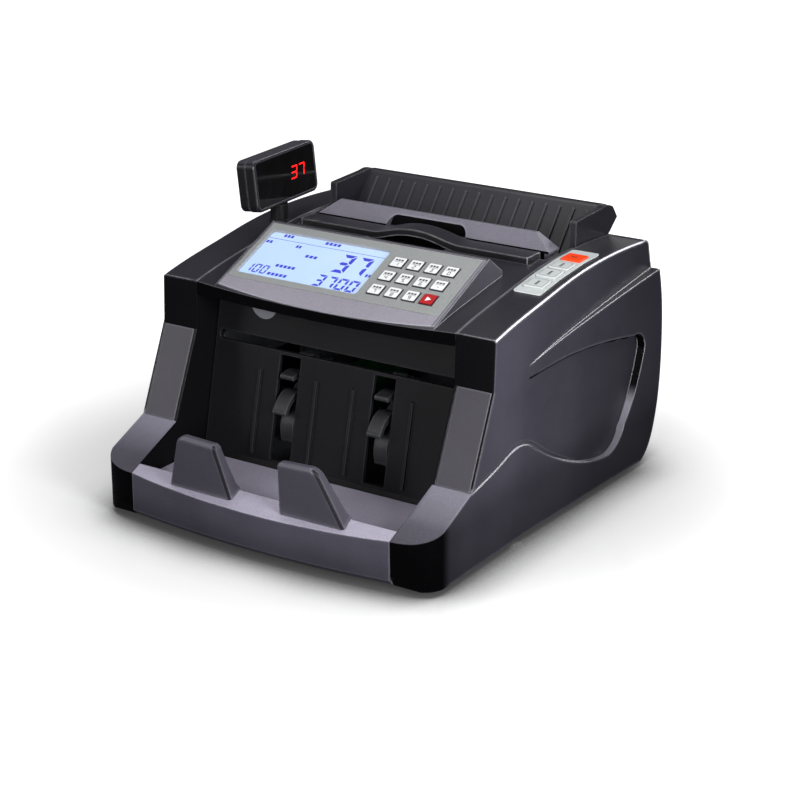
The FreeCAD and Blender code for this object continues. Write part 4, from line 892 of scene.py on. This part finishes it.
# ================================================================ swivel display digits
led_shapes = number("37", 5.0, -3.8, width=7.4, height=8.6, stroke=0.85, pitch=9.2, slant=0.2)
plate("led_digits", led_shapes, DISPLAY_FACE, 7.07, led_red, "display", thick=0.06)


# ================================================================ stage
def floor_white():
    """Glowing white floor with painted shade and shadow near and under the machine; only the camera
    sees it bright.
    """
    mat = Shader("floor_white")
    distance = mat.add("VectorMath", operation="LENGTH")
    mat.link(mat.coords, distance.inputs[0])
    # painted shade: the glow dims towards the machine
    glow = mat.span(distance.outputs["Value"], over=(0.14, 0.42), to=(0.20, 1.02), smooth=True)
    # painted shadow: occlusion darkens the floor close round the machine
    contact_shadow = mat.span(mat.occlusion(0.045, samples=8), over=(0.42, 0.96), to=(0.12, 1.0),
                       smooth=True)
    cloud = mat.noise(scale=3.0, detail=2.0)
    shade = mat.add("CombineColor")
    for i in range(3):
        tone = mat.span(cloud, NOISE_RANGE, to=(0.57, 0.61))
        mat.link(mat.times(tone, contact_shadow), shade.inputs[i])
    mat.set({"Base Color": shade.outputs[0], "Roughness": 0.12, "Specular IOR Level": 0.5,
             "Emission Color": (1, 1, 1), "Emission Strength": mat.times(glow, contact_shadow)})
    dim = mat.add("BsdfDiffuse")
    mat.fill(dim, {"Color": (0.045, 0.045, 0.05)})
    pick = mat.add("MixShader")
    mat.fill(pick, {0: mat.add("LightPath").outputs["Is Camera Ray"],
                    1: dim.outputs[0], 2: mat.surface.outputs[0]})
    mat.link(pick.outputs[0], mat.output.inputs[0])
    return mat.material


floor_mesh = bpy.data.meshes.new("floor")
floor_bm = bmesh.new()
bmesh.ops.create_grid(floor_bm, x_segments=2, y_segments=2, size=6.0)
floor_bm.to_mesh(floor_mesh)
floor_bm.free()
floor = bpy.data.objects.new("floor", floor_mesh)
bpy.context.scene.collection.objects.link(floor)
floor.data.materials.append(floor_white())


def studio_world():
    """White to the camera, dim grey to everything else."""
    world = bpy.data.worlds.new("studio")
    bpy.context.scene.world = world
    world.use_nodes = True
    tree = world.node_tree
    tree.nodes.clear()

    def background(colour, strength):
        node = tree.nodes.new("ShaderNodeBackground")
        node.inputs[0].default_value = colour
        node.inputs[1].default_value = strength
        return node.outputs[0]

    seen = background(colour=(1, 1, 1, 1), strength=1.05)
    ambient = background(colour=(0.10, 0.10, 0.115, 1), strength=0.8)
    path = tree.nodes.new("ShaderNodeLightPath")
    pick = tree.nodes.new("ShaderNodeMixShader")
    output = tree.nodes.new("ShaderNodeOutputWorld")
    tree.links.new(path.outputs["Is Camera Ray"], pick.inputs[0])
    tree.links.new(ambient, pick.inputs[1])
    tree.links.new(seen, pick.inputs[2])
    tree.links.new(pick.outputs[0], output.inputs[0])


studio_world()


def area(name, location, target, size, power):
    """Rectangular light aimed at a target and hidden from the camera."""
    light = bpy.data.lights.new(name, "AREA")
    light.shape = "RECTANGLE"
    light.size, light.size_y = size
    light.energy = power
    light.spread = math.radians(180)
    lamp = bpy.data.objects.new(name, light)
    bpy.context.scene.collection.objects.link(lamp)
    lamp.visible_camera = False
    lamp.location = location
    aim = Vector(target) - Vector(location)
    lamp.rotation_euler = aim.to_track_quat("-Z", "Y").to_euler()


# name, location, target, size, power in watts
LIGHTS = [
    ("top_soft", (-0.15, 0.0, 1.1), (0, 0, 0.1), (0.9, 0.7), 5.5),
    ("front_low", (0.15, -1.05, 0.40), (0.0, -0.1, 0.07), (0.6, 0.3), 7.5),
    ("back_strip", (0.60, 1.15, 0.85), (0.1, 0.0, 0.12), (0.5, 0.16), 7.0),
    ("right_key", (0.85, -0.42, 0.36), (0.12, -0.06, 0.09), (0.30, 0.40), 10.0),
    ("left_fill", (-1.0, -0.8, 0.5), (0, 0, 0.1), (0.5, 0.6), 3.4),
    ("rear_fill", (-0.25, 1.5, 0.30), (0, 0.1, 0.08), (0.9, 0.4), 0.8),
]
for entry in LIGHTS:
    area(*entry)

# ================================================================ camera
CAMERA_PLACE = (0.69393, -1.06744 + ORIGIN_Y * MM, 0.52229)
CAMERA_AIM = Vector((-0.51093, 0.78676, -0.34635))
lens = bpy.data.cameras.new("cam")
lens.sensor_width = 36.0
lens.lens = 92.3148
lens.clip_start = 0.01
camera = bpy.data.objects.new("cam", lens)
scene = bpy.context.scene
scene.collection.objects.link(camera)
camera.location = CAMERA_PLACE
camera.rotation_euler = CAMERA_AIM.to_track_quat("-Z", "Y").to_euler()
scene.camera = camera
scene.view_settings.view_transform = "Standard"
scene.view_settings.look = "None"
